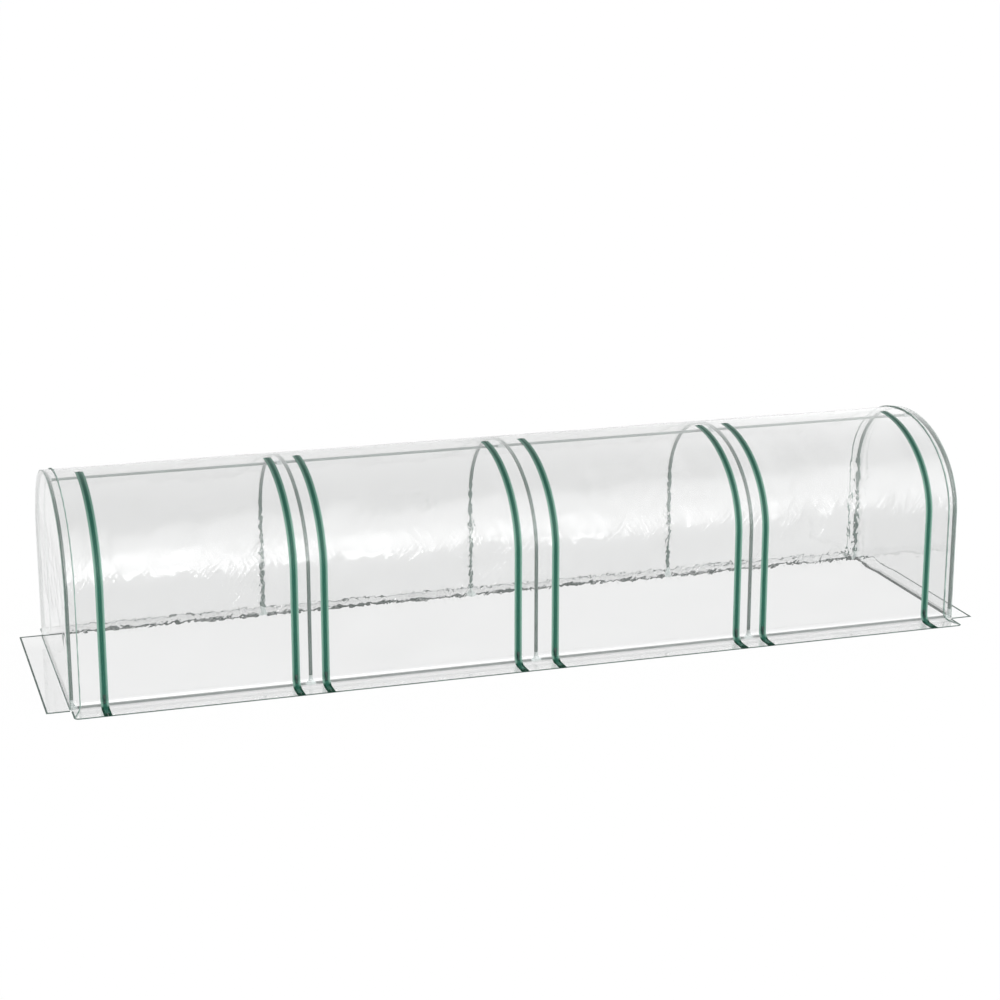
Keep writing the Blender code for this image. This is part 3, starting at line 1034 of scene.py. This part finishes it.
def make_camera():
    """The photograph's viewing angle, in front of the left end and a little above."""
    pitch, heading = math.radians(15.3183), math.radians(17.4969)
    camera = linked("camera", bpy.data.cameras.new("camera"))
    camera.location = (-2.9672, -9.3834, 3.2941)
    camera.rotation_euler = (QUARTER - pitch, 0, -heading)
    camera.data.sensor_width = 36
    camera.data.lens = 82.11
    camera.data.clip_end = 1000
    scene = bpy.context.scene
    scene.camera = camera
    scene.view_settings.view_transform = "Standard"
    scene.cycles.use_denoising = True
    scene.cycles.caustics_reflective = False
    scene.cycles.caustics_refractive = False
    scene.cycles.max_bounces = 20
    scene.cycles.transmission_bounces = 18
    scene.cycles.transparent_max_bounces = 24


def tube_template(name, diameter, marks):
    """A tube along +Y through the marks, with chamfered ends."""
    radius = diameter / 2
    bore = radius - sizes().tube_wall
    chamfer = 0.0003
    low, high = marks[0], marks[-1]
    outside = [(radius - chamfer, low), (radius, low + chamfer)]
    outside += [(radius, mark) for mark in marks[1:-1]]
    outside += [(radius, high - chamfer), (radius - chamfer, high)]
    inside = [(bore, mark) for mark in reversed(marks)]
    tube = turned(name, outside + inside, sizes().tube_sides, bore=True)
    tube.data.transform(Matrix.Rotation(-QUARTER, 4, "X"))
    finish_with(tube, "steel")
    return smooth(tube)


class TUNNEL_OT_steel_frame(bpy.types.Operator):
    """Five hoops, the rails, the end bars and the ridge bar"""
    bl_idname = "tunnel.steel_frame"
    bl_label = "Steel frame"

    def execute(self, context):
        line = hoop_line()
        template = tube_template("hoop_template", sizes().hoop_diameter, list(line.marks))
        for index, x in enumerate(HOOP_X, 1):
            tube = copied(template, f"hoop_tube_{index}", Matrix.Translation((x, 0, 0)), line)
            declare(tube, "tunnel", f"hoop_{index}")
        discard(template)
        self.straight_bars()
        return {"FINISHED"}

    def straight_bars(self):
        """Tubes that run straight between two fittings."""
        along_x = [f"{side}_rail_{bay + 1}" for side in ("front", "rear") for bay in range(BAYS)]
        for node in (*along_x, "ridge_bar", "end_bar_left", "end_bar_right"):
            low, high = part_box(node)
            across = node.startswith("end_bar")
            half = ((high.y - low.y) if across else (high.x - low.x)) / 2
            grip = half - 0.02
            tube = tube_template(f"{node}_tube", sizes().bar_diameter, [-half, -grip, grip, half])
            turn = Matrix.Identity(4) if across else Matrix.Rotation(-QUARTER, 4, "Z")
            settle(tube, Matrix.Translation(node_middle(node)) @ turn)
            declare(tube, "tunnel", node)


class TUNNEL_OT_feet(bpy.types.Operator):
    """Moulded fittings that join the legs and the rails"""
    bl_idname = "tunnel.feet"
    bl_label = "Feet"

    def execute(self, context):
        tee = foot_template("tee_template", ((1, 0), (-1, 0)))
        corner = foot_template("corner_template", ((1, 0), (0, 1)))
        corner_turns = {("front", 0): 0, ("front", BAYS): 1, ("rear", BAYS): 2, ("rear", 0): 3}
        for index, x in enumerate(HOOP_X):
            for side, y in (("front", -HALF_WIDTH), ("rear", HALF_WIDTH)):
                tee_turns = 2 if side == "rear" else 0
                turns = corner_turns.get((side, index), tee_turns)
                matrix = Matrix.Translation((x, y, 0)) @ Matrix.Rotation(turns * QUARTER, 4, "Z")
                name = f"{side}_foot_{index + 1}"
                template = corner if index in (0, BAYS) else tee
                declare(copied(template, f"{name}_fitting", matrix), "tunnel", name)
        discard(tee, corner)
        return {"FINISHED"}


def groove(radius, low, high, depth, slope):
    """Stations of a groove round a part, with sloping sides."""
    floor = radius - depth
    return [(radius, low), (floor, low + slope), (floor, high - slope), (radius, high)]


def foot_template(name, arms):
    """A post that plugs into a leg, with arms that plug into the rails."""
    leg = sizes().hoop_diameter / 2
    rail = sizes().bar_diameter / 2
    plug_gap = sizes().tube_wall + 0.0004
    post_top, post_plug, post_tip = 0.0448, 0.0660, 0.0698
    arm_end, arm_plug, arm_tip = 0.0219, 0.0440, 0.0468
    rib_half, rib_start, rib_reach, rib_top_reach = 0.0011, 0.0040, 0.0195, 0.0085
    rib_low, rib_top = 0.0090, 0.0300
    bore = leg - plug_gap
    foot = turned(name, [
        (leg - 0.0012, 0), (leg, 0.0010),
        *groove(leg, 0.0170, 0.0204, 0.0009, 0.0008),
        *groove(leg, 0.0385, 0.0411, 0.0008, 0.0007),
        (leg, post_top - 0.0006), (leg - 0.0005, post_top),
        (bore, post_top), (bore, post_plug), (bore - 0.0018, post_tip)])
    bore = rail - plug_gap
    for across, ahead in arms:
        arm = turned("arm", [
            (rail - 0.0002, 0), (rail - 0.0002, 0.0120), (rail, 0.0126),
            *groove(rail, 0.0150, 0.0172, 0.0007, 0.0006),
            (rail, arm_end - 0.0005), (rail - 0.0005, arm_end),
            (bore, arm_end), (bore, arm_plug), (bore - 0.0014, arm_tip)], 28)
        lean = Vector((0, 0, 1)).rotation_difference(Vector((across, ahead, 0)))
        settle(arm, Matrix.Translation((0, 0, leg)) @ lean.to_matrix().to_4x4())
        rib = block("rib", (rib_start, -rib_half, rib_low), (rib_reach, rib_half, rib_top))
        for vert in rib.data.vertices:
            if vert.co.x > rib_top_reach and vert.co.z > (rib_low + rib_top) / 2:
                vert.co.x = rib_top_reach
        settle(rib, Matrix.Rotation(math.atan2(ahead, across), 4, "Z"))
        combine(foot, arm, rib)
    tidy_shell(foot)
    finish_with(foot, "plastic")
    return smooth(foot)


class TUNNEL_OT_ridge_clips(bpy.types.Operator):
    """Clips that hang the ridge bar under the hoops"""
    bl_idname = "tunnel.ridge_clips"
    bl_label = "Ridge clips"

    def execute(self, context):
        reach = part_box("ridge_clip_3")[1].x - HOOP_X[2]
        under_band = sizes().hoop_diameter / 2 - 0.0006
        middle = clip_template("clip_template", reach, reach)
        end = clip_template("end_clip_template", under_band, reach)
        for index, x in enumerate(HOOP_X):
            matrix = Matrix.Translation((x, 0, 0))
            if index == BAYS:
                matrix = matrix @ Matrix.Rotation(math.pi, 4, "Z")
            name = f"ridge_clip_{index + 1}"
            template = end if index in (0, BAYS) else middle
            declare(copied(template, f"{name}_fitting", matrix), "tunnel", name)
        discard(middle, end)
        return {"FINISHED"}


def clip_template(name, back_reach, reach):
    """A sleeve round the ridge bar with a saddle that grips the hoop above it.

    An end hoop's clip is cut off short on the outside, where the band of film passes.
    """
    leg = sizes().hoop_diameter / 2
    rail = sizes().bar_diameter / 2
    bar = node_middle("ridge_bar").z
    crown = sizes().leg_height + sizes().arch_rise
    skin, saddle_skin, saddle_half = rail + 0.0028, leg + 0.0030, 0.0118
    edge, play, overlap = 0.0006, 0.0001, 0.001
    clip = turned(name, [(skin - edge, -back_reach), (skin, edge - back_reach),
                         *groove(skin, 0.0115, reach - 0.0027, 0.0008, 0.0008),
                         (skin, reach - edge), (skin - edge, reach)], 36)
    settle(clip, Matrix.Translation((0, 0, bar)) @ Matrix.Rotation(QUARTER, 4, "Y"))
    saddle = turned("saddle", [(saddle_skin - edge, -saddle_half), (saddle_skin, edge - saddle_half),
                               (saddle_skin, saddle_half - edge), (saddle_skin - edge, saddle_half)],
                    40)
    settle(saddle, Matrix.Translation((0, 0, crown)) @ Matrix.Rotation(QUARTER, 4, "X"))
    neck_x, neck_y = 0.0070, 0.0075
    neck = block("neck", (-neck_x, -neck_y, bar), (neck_x, neck_y, crown - leg + overlap))
    combine(clip, saddle, neck)
    tab_start, tab_end, tab_half = 0.0095, 0.0190, 0.0035
    tab = block("tab", (tab_start, -tab_half, bar - skin - 0.0022),
                (tab_end, tab_half, bar - rail - overlap))
    combine(clip, tab)
    far = 0.08
    cutters = [
        block("above", (-far, -far, crown + 0.0026), (far, far, crown + far)),
        rod("hoop_bore", leg + play, far, "Y", (0, 0, crown)),
        rod("bar_bore", rail + play, far, "X", (0, 0, bar)),
        rod("tab_hole", 0.0013, 0.02, "X", (0.015, 0, bar - skin - 0.0004)),
    ]
    if back_reach < reach:
        cutters.append(block("outboard", (-far, -far, 0), (-back_reach, far, 1)))
    combine(clip, *cutters, operation="DIFFERENCE")
    tidy_shell(clip)
    finish_with(clip, "plastic")
    return smooth(clip)


def rod(name, radius, half_length, axis, centre):
    """A plain round cutter along an axis."""
    cutter = turned(name, [(radius, -half_length), (radius, half_length)], 40)
    lean = Matrix.Rotation(QUARTER, 4, "Y" if axis == "X" else "X")
    return settle(cutter, Matrix.Translation(centre) @ lean)


class TUNNEL_OT_roof_film(bpy.types.Operator):
    """The sheet behind the ridge, with the back wall and the back skirt"""
    bl_idname = "tunnel.roof_film"
    bl_label = "Roof film"

    def execute(self, context):
        cover_film("roof_film", "cover_roof", 3, 0.0125, at_back=True)
        return {"FINISHED"}


class TUNNEL_OT_front_strips(bpy.types.Operator):
    """Fixed strips of film in front of the hoops"""
    bl_idname = "tunnel.front_strips"
    bl_label = "Front strips"

    def execute(self, context):
        for index in range(HOOPS):
            cover_film(f"front_strip_film_{index + 1}", f"front_strip_{index + 1}", 20 + index,
                       sizes().film_mesh)
        return {"FINISHED"}


class TUNNEL_OT_doors(bpy.types.Operator):
    """Film doors of the bays, from the ridge to the skirt's edge"""
    bl_idname = "tunnel.doors"
    bl_label = "Doors"

    def execute(self, context):
        for bay in range(BAYS):
            cover_film(f"door_film_{bay + 1}", f"door_{bay + 1}", 30 + bay, sizes().film_mesh,
                       bay)
        return {"FINISHED"}


class TUNNEL_OT_end_caps(bpy.types.Operator):
    """End walls with the band over the end hoop and the end skirt"""
    bl_idname = "tunnel.end_caps"
    bl_label = "End caps"

    def execute(self, context):
        right, area = end_cap("end_cap_film_right")
        left = copied(right, "end_cap_film_left", Matrix.Rotation(math.pi, 4, "Z"))
        for side, cap, hoop in (("left", left, 1), ("right", right, HOOPS)):
            declare(cap, "tunnel", f"end_cap_{side}")
        return {"FINISHED"}


def end_cap(name):
    """The right end's film: band, flat wall, end skirt and welds, and its flat area."""
    band = band_sheet("band")
    wall = wall_sheet("wall")
    area = float(sum(face.area for part in (band, wall) for face in part.data.polygons))
    for part in (band, wall):
        finish_with(part, "outside", "inside")
    cap = join(band, wall)
    cap.name = name
    cap.data.name = name
    tidy_shell(cap, SEAM_MERGE)
    thicken(cap)
    edge = end_skirt_half()
    notch = notch_x()
    wall_x = notch + sizes().end_corner_radius
    corner = [(notch - before_notch, -SKIRT_REACH + cut) for before_notch, cut in skirt_round()]
    front = [(SEAM_X, -SKIRT_REACH), *corner, (notch, -edge - 0.006)]
    back = [(x, -y) for x, y in reversed(front)]
    bead_low, bead_high, bead_gap = 0.0058, 0.0082, 0.012
    bead = block("foot_bead", (wall_x + 0.0006, -edge + bead_gap, bead_low),
                 (wall_x + 0.0030, edge - bead_gap, bead_high), 0.0004, 1)
    finish_with(bead, "seam")
    skirt = [(wall_x, -edge), (END_SKIRT_X, -edge), (END_SKIRT_X, edge), (wall_x, edge)]
    join(cap, hem("end_hem", skirt), hem("front_hem", front), hem("back_hem", back),
         seam_fin("front_seam"), mirrored_back(seam_fin("back_seam")), rim_bead("rim_bead"), bead)
    return smooth(cap, 60), area


def notch_x():
    """Where the side skirts end, at the corner of the end wall."""
    return END_X + sizes().film_offset - sizes().end_corner_radius


def end_skirt_half():
    """Half the width of the end skirt."""
    return HALF_WIDTH + sizes().film_offset + 0.0092


def skirt_round():
    """How far the points of the side skirt's rounded corner lie in from its two edges."""
    radius = sizes().skirt_corner_radius
    return [(radius * (1 - math.sin(angle)), radius * (1 - math.cos(angle)))
            for angle in np.linspace(0, QUARTER, 7)]


def band_sheet(name):
    """The band over the end hoop: the fold gets tighter towards the notch in the skirt."""
    corner = sizes().end_corner_radius
    notch = notch_x()
    before_round = notch - sizes().skirt_corner_radius
    spots = [(x, 0.0) for x in np.linspace(SEAM_X, before_round, 3)[:-1]]
    spots += [(notch - before_notch, cut) for before_notch, cut in skirt_round()]
    columns = []
    for x, cut in spots:
        share = (x - SEAM_X) / (notch - SEAM_X)
        fold = sizes().fold_radius * (1 - share) + NOTCH_FOLD * share
        columns.append(cap_column(cover_line(fold, SKIRT_REACH - cut), x, True))
    edge = cover_line(NOTCH_FOLD)
    for angle in np.linspace(0, QUARTER, 6)[1:]:
        x = notch + corner * math.sin(angle)
        columns.append(cap_column(edge, x, False, corner * (1 - math.cos(angle))))
    return band_mesh(name, columns)


def cap_column(line, x, with_skirt, inset=0.0):
    """One line of points down the front of the band, to the ground or on to the skirt's edge."""
    marks = [*np.linspace(0, line.arch_end, CAP_ARCH_POINTS),
             *np.linspace(line.arch_end, line.leg_end, CAP_LEG_POINTS)[1:]]
    if with_skirt:
        marks += [*np.linspace(line.leg_end, line.fold_end, 7)[1:],
                  *np.linspace(line.fold_end, line.length, 7)[1:]]
    return line.place(np.full(len(marks), x), np.array(marks), np.full(len(marks), -inset))


def band_mesh(name, columns):
    """Faces between neighbouring columns, front and back."""
    shape = bmesh.new()
    for mirror in (1, -1):
        placed = [[shape.verts.new((x, y * mirror, z)) for x, y, z in points]
                  for points in columns]
        for near, far in zip(placed, placed[1:]):
            for row in range(min(len(near), len(far)) - 1):
                corners = [near[row], far[row], far[row + 1], near[row + 1]]
                if mirror > 0:
                    corners.reverse()
                shape.faces.new(corners)
    bmesh.ops.remove_doubles(shape, verts=shape.verts, dist=SEAM_MERGE)
    return shell_of(name, shape)


def wall_sheet(name):
    """The flat end wall and its skirt, which leaves the wall in a small fold."""
    corner = sizes().end_corner_radius
    fold = sizes().end_fold_radius
    leg = sizes().leg_height
    wall_x = END_X + sizes().film_offset
    edge = cover_line(NOTCH_FOLD)
    marks = np.linspace(0, edge.arch_end, CAP_ARCH_POINTS)
    arch = edge.place(np.zeros(len(marks)), marks, np.full(len(marks), -corner))[::-1, 1:]
    outline = np.concatenate([arch, arch[-2::-1] * (-1, 1)])
    ys, tops = outline.T

    def level(x, height):
        """A row of points across the wall."""
        return np.stack([np.full(len(ys), x), ys, np.full(len(ys), height)], axis=-1)

    heights = np.linspace(leg, GROUND_FILM + NOTCH_FOLD, CAP_LEG_POINTS)[:-1][::-1]
    rows = [np.full(len(ys), height) for height in heights]
    rows += [leg + share * (tops - leg) for share in np.linspace(0, 1, 14)[1:]]
    rows = np.array(rows).T
    y = np.repeat(ys[:, None], rows.shape[1], axis=1)
    slack = ripples(y, rows, 71) * 0.35 + creases(y, rows, 72, 14, 0.1, 0.75, 0.0003)
    held = 0.08
    rim = np.minimum(soft_step(HALF_WIDTH - np.abs(y), 0.0, held),
                     soft_step(tops[:, None] - rows, 0.0, held))
    x = wall_x + slack * rim * soft_step(rows, 0.03, 0.10)
    wall = np.stack([x, y, rows], axis=-1)
    skirt = [level(reach, GROUND_FILM)
             for reach in np.linspace(END_SKIRT_X, wall_x + fold, 9)[:-1]]
    foot = [level(wall_x + fold * (1 - math.cos(angle)), GROUND_FILM + fold * (1 - math.sin(angle)))
            for angle in np.linspace(QUARTER, 0, 6)[:-1]]
    bottom = [level(wall_x, height)
              for height in np.linspace(GROUND_FILM + fold, heights[0], 4)[:-1]]
    lower = np.stack(skirt + foot + bottom, axis=1)
    points = np.concatenate([lower, wall], axis=1)
    # The skirt is wider than the wall, so the rows between them spread out step by step
    flare = end_skirt_half() / (HALF_WIDTH + sizes().film_offset - corner)
    low_rows = lower.shape[1]
    wide_rows, narrow_rows = 6, 3
    spread = soft_step(-np.arange(low_rows, dtype=float), narrow_rows - low_rows, -wide_rows)
    points[:, :low_rows, 1] *= 1 + (flare - 1) * spread[None, :]
    return sheet_mesh(name, points, outwards=False)


def seam_fin(name):
    """The standing weld between the cover and the band, which curls in at the notch."""
    line = cover_line()
    thick, tall, lift = 0.0044, 0.0052, 0.0002
    turn, end = line.leg_end + 0.004, line.fold_end + 0.066
    aside = notch_x() - SEAM_X - 0.004
    fin = drawn(name, thick, tall, list(spaced(0, end, BEND_STEP)))
    for vert in fin.data.vertices:
        along = vert.co.y
        vert.co.x += SEAM_X + aside * float(soft_step(np.array(along), turn, end + 0.01))
        vert.co.z += lift
        if vert.co.z > tall / 2:
            # The free edge wavers, and lies lower on the skirt
            vert.co.x += 0.0006 * math.sin(along * 90)
            vert.co.z += 0.0005 * math.sin(along * 37)
            vert.co.z *= 1 - 0.55 * float(soft_step(np.array(along), turn, end))
    wrap(fin, line)
    finish_with(fin, "seam")
    return tidy_shell(fin)


def mirrored_back(piece):
    """Mirror a piece of the front to the back."""
    return settle(piece, Matrix.Diagonal((1, -1, 1, 1)))


def rim_bead(name):
    """The fine weld round the rim of the end wall."""
    line = cover_line(NOTCH_FOLD)
    width, tall, inset = 0.0020, 0.0016, 0.0012
    bead = drawn(name, width, tall, list(spaced(0, line.leg_end - 0.002, BEND_STEP)))
    for vert in bead.data.vertices:
        vert.co.x += END_X + sizes().film_offset - inset
        vert.co.z -= tall
    wrap(bead, line)
    finish_with(bead, "seam")
    tidy_shell(bead)
    return join(bead, mirrored_back(copied(bead, f"{name}_back")))


class TUNNEL_OT_zips(bpy.types.Operator):
    """Zips: teeth, tape, stitching and end tabs on both sides of each opening"""
    bl_idname = "tunnel.zips"
    bl_label = "Zips"

    def execute(self, context):
        line = cover_line()
        fixed = zip_half("zip_half_template", line, 0.0)
        other = zip_half("door_half_template", line, sizes().tooth_pitch / 2)
        flip = Matrix.Diagonal((-1, 1, 1, 1))
        for index, x in enumerate(zip_places()):
            spot = Matrix.Translation((x, 0, 0)) @ (flip if index % 2 else Matrix.Identity(4))
            half = copied(fixed, f"zip_tape_{index + 1}", spot, line)
            declare(half, "tunnel", f"zip_{index + 1}")
            half = copied(other, f"door_tape_{index + 1}", spot @ flip, line)
            hinge_blend(half)
        discard(fixed, other)
        return {"FINISHED"}


def zip_half(name, line, shift):
    """One side of a zip, flat: X across from its middle, Y along it and Z off the film."""
    size = sizes()
    start, end = -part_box("zip_1")[1].y, line.length
    thick, lift, inner = 0.0006, 0.0008, 0.0006
    tab_start = end - 0.030
    width = size.tape_half_width - inner
    tape = drawn(name, width, thick, list(spaced(start, end - 0.001, BEND_STEP)))
    for vert in tape.data.vertices:
        vert.co.x -= size.tape_half_width - width / 2
        vert.co.z += lift
    finish_with(tape, "tape")
    parts = [tape_cord(start, tab_start), teeth(start + 0.006 + shift, tab_start - 0.004)]
    for row in (0.0106, 0.0152):
        parts.append(stitches(row, start + 0.004, end - 0.003))
    stop_edge, stop_low, stop_top = 0.0056, 0.0010, 0.0030
    stop = block("top_stop", (-stop_edge, start + 0.0012, stop_low),
                 (-inner, start + 0.0042, stop_top), 0.0004)
    finish_with(stop, "teeth")
    tab_top = 0.0022
    tab = block("end_tab", (-size.tape_half_width, tab_start, lift), (-inner, end, tab_top), 0.0005)
    finish_with(tab, "tape")
    return mark_up(join(tape, *parts, stop, tab))


def tape_cord(start, end):
    """The thick woven cord that the teeth are moulded on."""
    middle, width, tall, lift = -0.0062, 0.0030, 0.0007, 0.0013
    cord = drawn("cord", width, tall, list(spaced(start, end, BEND_STEP)))
    narrowed(cord, 0, 0.6, above=tall / 2)
    for vert in cord.data.vertices:
        vert.co.x += middle
        vert.co.z += lift
    finish_with(cord, "teeth")
    return cord


def teeth(start, end):
    """A row of teeth that reach just past the zip's middle, narrower on top."""
    half, root, top_root, tip, low, top = 0.0009, -0.0050, -0.0042, 0.0005, 0.0010, 0.0026
    tooth = block("tooth", (root, -half, low), (tip, half, top))
    narrowed(tooth, 1, 0.62, above=(low + top) / 2)
    for vert in tooth.data.vertices:
        if vert.co.z > (low + top) / 2:
            vert.co.x = max(vert.co.x, top_root)
    return repeated(tooth, sizes().tooth_pitch, start, end, "teeth")


def stitches(row, start, end):
    """A row of stitches through the tape and the film, narrower on top."""
    pitch, half, thread, low, top = 0.0042, 0.0013, 0.00035, 0.0012, 0.0018
    stitch = block("stitch", (-row - thread, -half, low), (-row + thread, half, top))
    narrowed(stitch, 1, 0.7, above=(low + top) / 2)
    return repeated(stitch, pitch, start, end, "thread")


def repeated(piece, pitch, low, high, look):
    """Copies of a small part along +Y."""
    finish_with(piece, look)
    for vert in piece.data.vertices:
        vert.co.y += low
    return modify(piece, "ARRAY", count=int((high - low) / pitch), use_relative_offset=False,
                  use_constant_offset=True, constant_offset_displace=(0, pitch, 0))


def mark_up(piece):
    """Store how far each point lies across and along the zip, for its materials."""
    mesh = piece.data
    x, y, _ = points_of(mesh).T
    for name, values in (("across", np.abs(x)), ("along", y)):
        attribute = mesh.attributes.new(name, "FLOAT", "POINT")
        attribute.data.foreach_set("value", values.astype(np.float32))
    return piece


class TUNNEL_OT_sliders(bpy.types.Operator):
    """Zip sliders with their pulls"""
    bl_idname = "tunnel.sliders"
    bl_label = "Sliders"

    def execute(self, context):
        template = slider_template("slider_template")
        for index, x in enumerate(zip_places(), 1):
            back_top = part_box(f"zip_slider_{index}")[1]
            matrix = Matrix.Translation((x, back_top.y, back_top.z))
            slider = copied(template, f"slider_{index}", matrix)
            declare(slider, f"slider_body_{index}", f"zip_slider_{index}")
        discard(template)
        return {"FINISHED"}


def slab(name, half, near, far, low, high, bevel=0.0, segments=2):
    """A box that is centred on X."""
    return block(name, (-half, near, low), (half, far, high), bevel, segments)


def rounded(piece, width, segments):
    """Round a piece's sharp edges."""
    return modify(piece, "BEVEL", width=width, segments=segments, limit_method="ANGLE",
                  angle_limit=math.radians(30))


def slider_template(name):
    """A slider whose back is at Y = 0 and whose top is at Z = 0."""
    half, length, narrow = 0.0065, 0.0220, 0.72
    back_near, front_near, front_far, inset = -0.0013, -0.0040, -0.0026, 0.0005
    lug_near, lug_low, lug_high = -0.0070, -0.0155, -0.0065
    pull_near, pull_thick, pull_low, pull_high = -0.0078, 0.0016, -0.0365, -0.0087
    back = slab(name, half, back_near, 0, -length, 0)
    front = slab("front_plate", half - 0.0003, front_near, front_far, inset - length, -inset)
    for plate in (back, front):
        narrowed(plate, 0, narrow, below=-length / 2)
        rounded(plate, 0.0011, 3)
    post = slab("post", 0.0016, front_near + 0.0010, back_near + 0.0005, -0.0085, -0.0015, 0.0003)
    lug = slab("lug", 0.0025, lug_near, front_near + 0.0004, lug_low, lug_high, 0.0009, 3)
    slot = slab("slot", half, lug_near + 0.0010, front_near, lug_low + 0.0020, lug_high - 0.0020)
    combine(lug, slot, operation="DIFFERENCE")
    pull = slab("pull", 0.0040, pull_near, pull_near + pull_thick, pull_low, pull_high)
    narrowed(pull, 0, narrow, above=(pull_low + pull_high) / 2)
    rounded(pull, 0.0006, 2)
    hole = slab("hole", 0.0019, pull_near - pull_thick, pull_near + 2 * pull_thick,
                pull_high - 0.0038, pull_high - 0.0011, 0.0006)
    grip = slab("grip", 0.0026, pull_near - 0.0012, pull_near + 0.0004, pull_low + 0.0030,
                pull_low + 0.0150, 0.0004)
    combine(pull, hole, grip, operation="DIFFERENCE")
    slider = join(back, front, post, lug, pull)
    finish_with(slider, "slider")
    return smooth(slider)


class TUNNEL_PT_sidebar(bpy.types.Panel):
    """Buttons for the tunnel's pieces, with its sizes and colours"""
    bl_idname = "TUNNEL_PT_sidebar"
    bl_label = "Row Cover"
    bl_space_type = "VIEW_3D"
    bl_region_type = "UI"
    bl_category = "Row Cover"

    def draw(self, context):
        for operator in OPERATORS:
            self.layout.operator(operator.bl_idname)
        for group in (context.scene.tunnel_sizes, context.scene.tunnel_colours):
            column = self.layout.column()
            for name in group.__annotations__:
                column.prop(group, name)


OPERATORS = (
    TUNNEL_OT_stage, TUNNEL_OT_steel_frame, TUNNEL_OT_feet, TUNNEL_OT_ridge_clips,
    TUNNEL_OT_roof_film, TUNNEL_OT_front_strips, TUNNEL_OT_doors, TUNNEL_OT_end_caps,
    TUNNEL_OT_zips, TUNNEL_OT_sliders,
)
CLASSES = (TunnelSizes, TunnelColours, *OPERATORS, TUNNEL_PT_sidebar)


def register():
    """Add the settings, the operators and the panel."""
    for item in CLASSES:
        bpy.utils.register_class(item)
    bpy.types.Scene.tunnel_sizes = PointerProperty(type=TunnelSizes)
    bpy.types.Scene.tunnel_colours = PointerProperty(type=TunnelColours)


def unregister():
    """Take the settings, the operators and the panel out again."""
    del bpy.types.Scene.tunnel_sizes
    del bpy.types.Scene.tunnel_colours
    for item in reversed(CLASSES):
        bpy.utils.unregister_class(item)


def main():
    """Build the scene."""
    register()
    for operator in OPERATORS:
        group, name = operator.bl_idname.split(".")
        getattr(getattr(bpy.ops, group), name)()


if __name__ == "__main__":
    main()
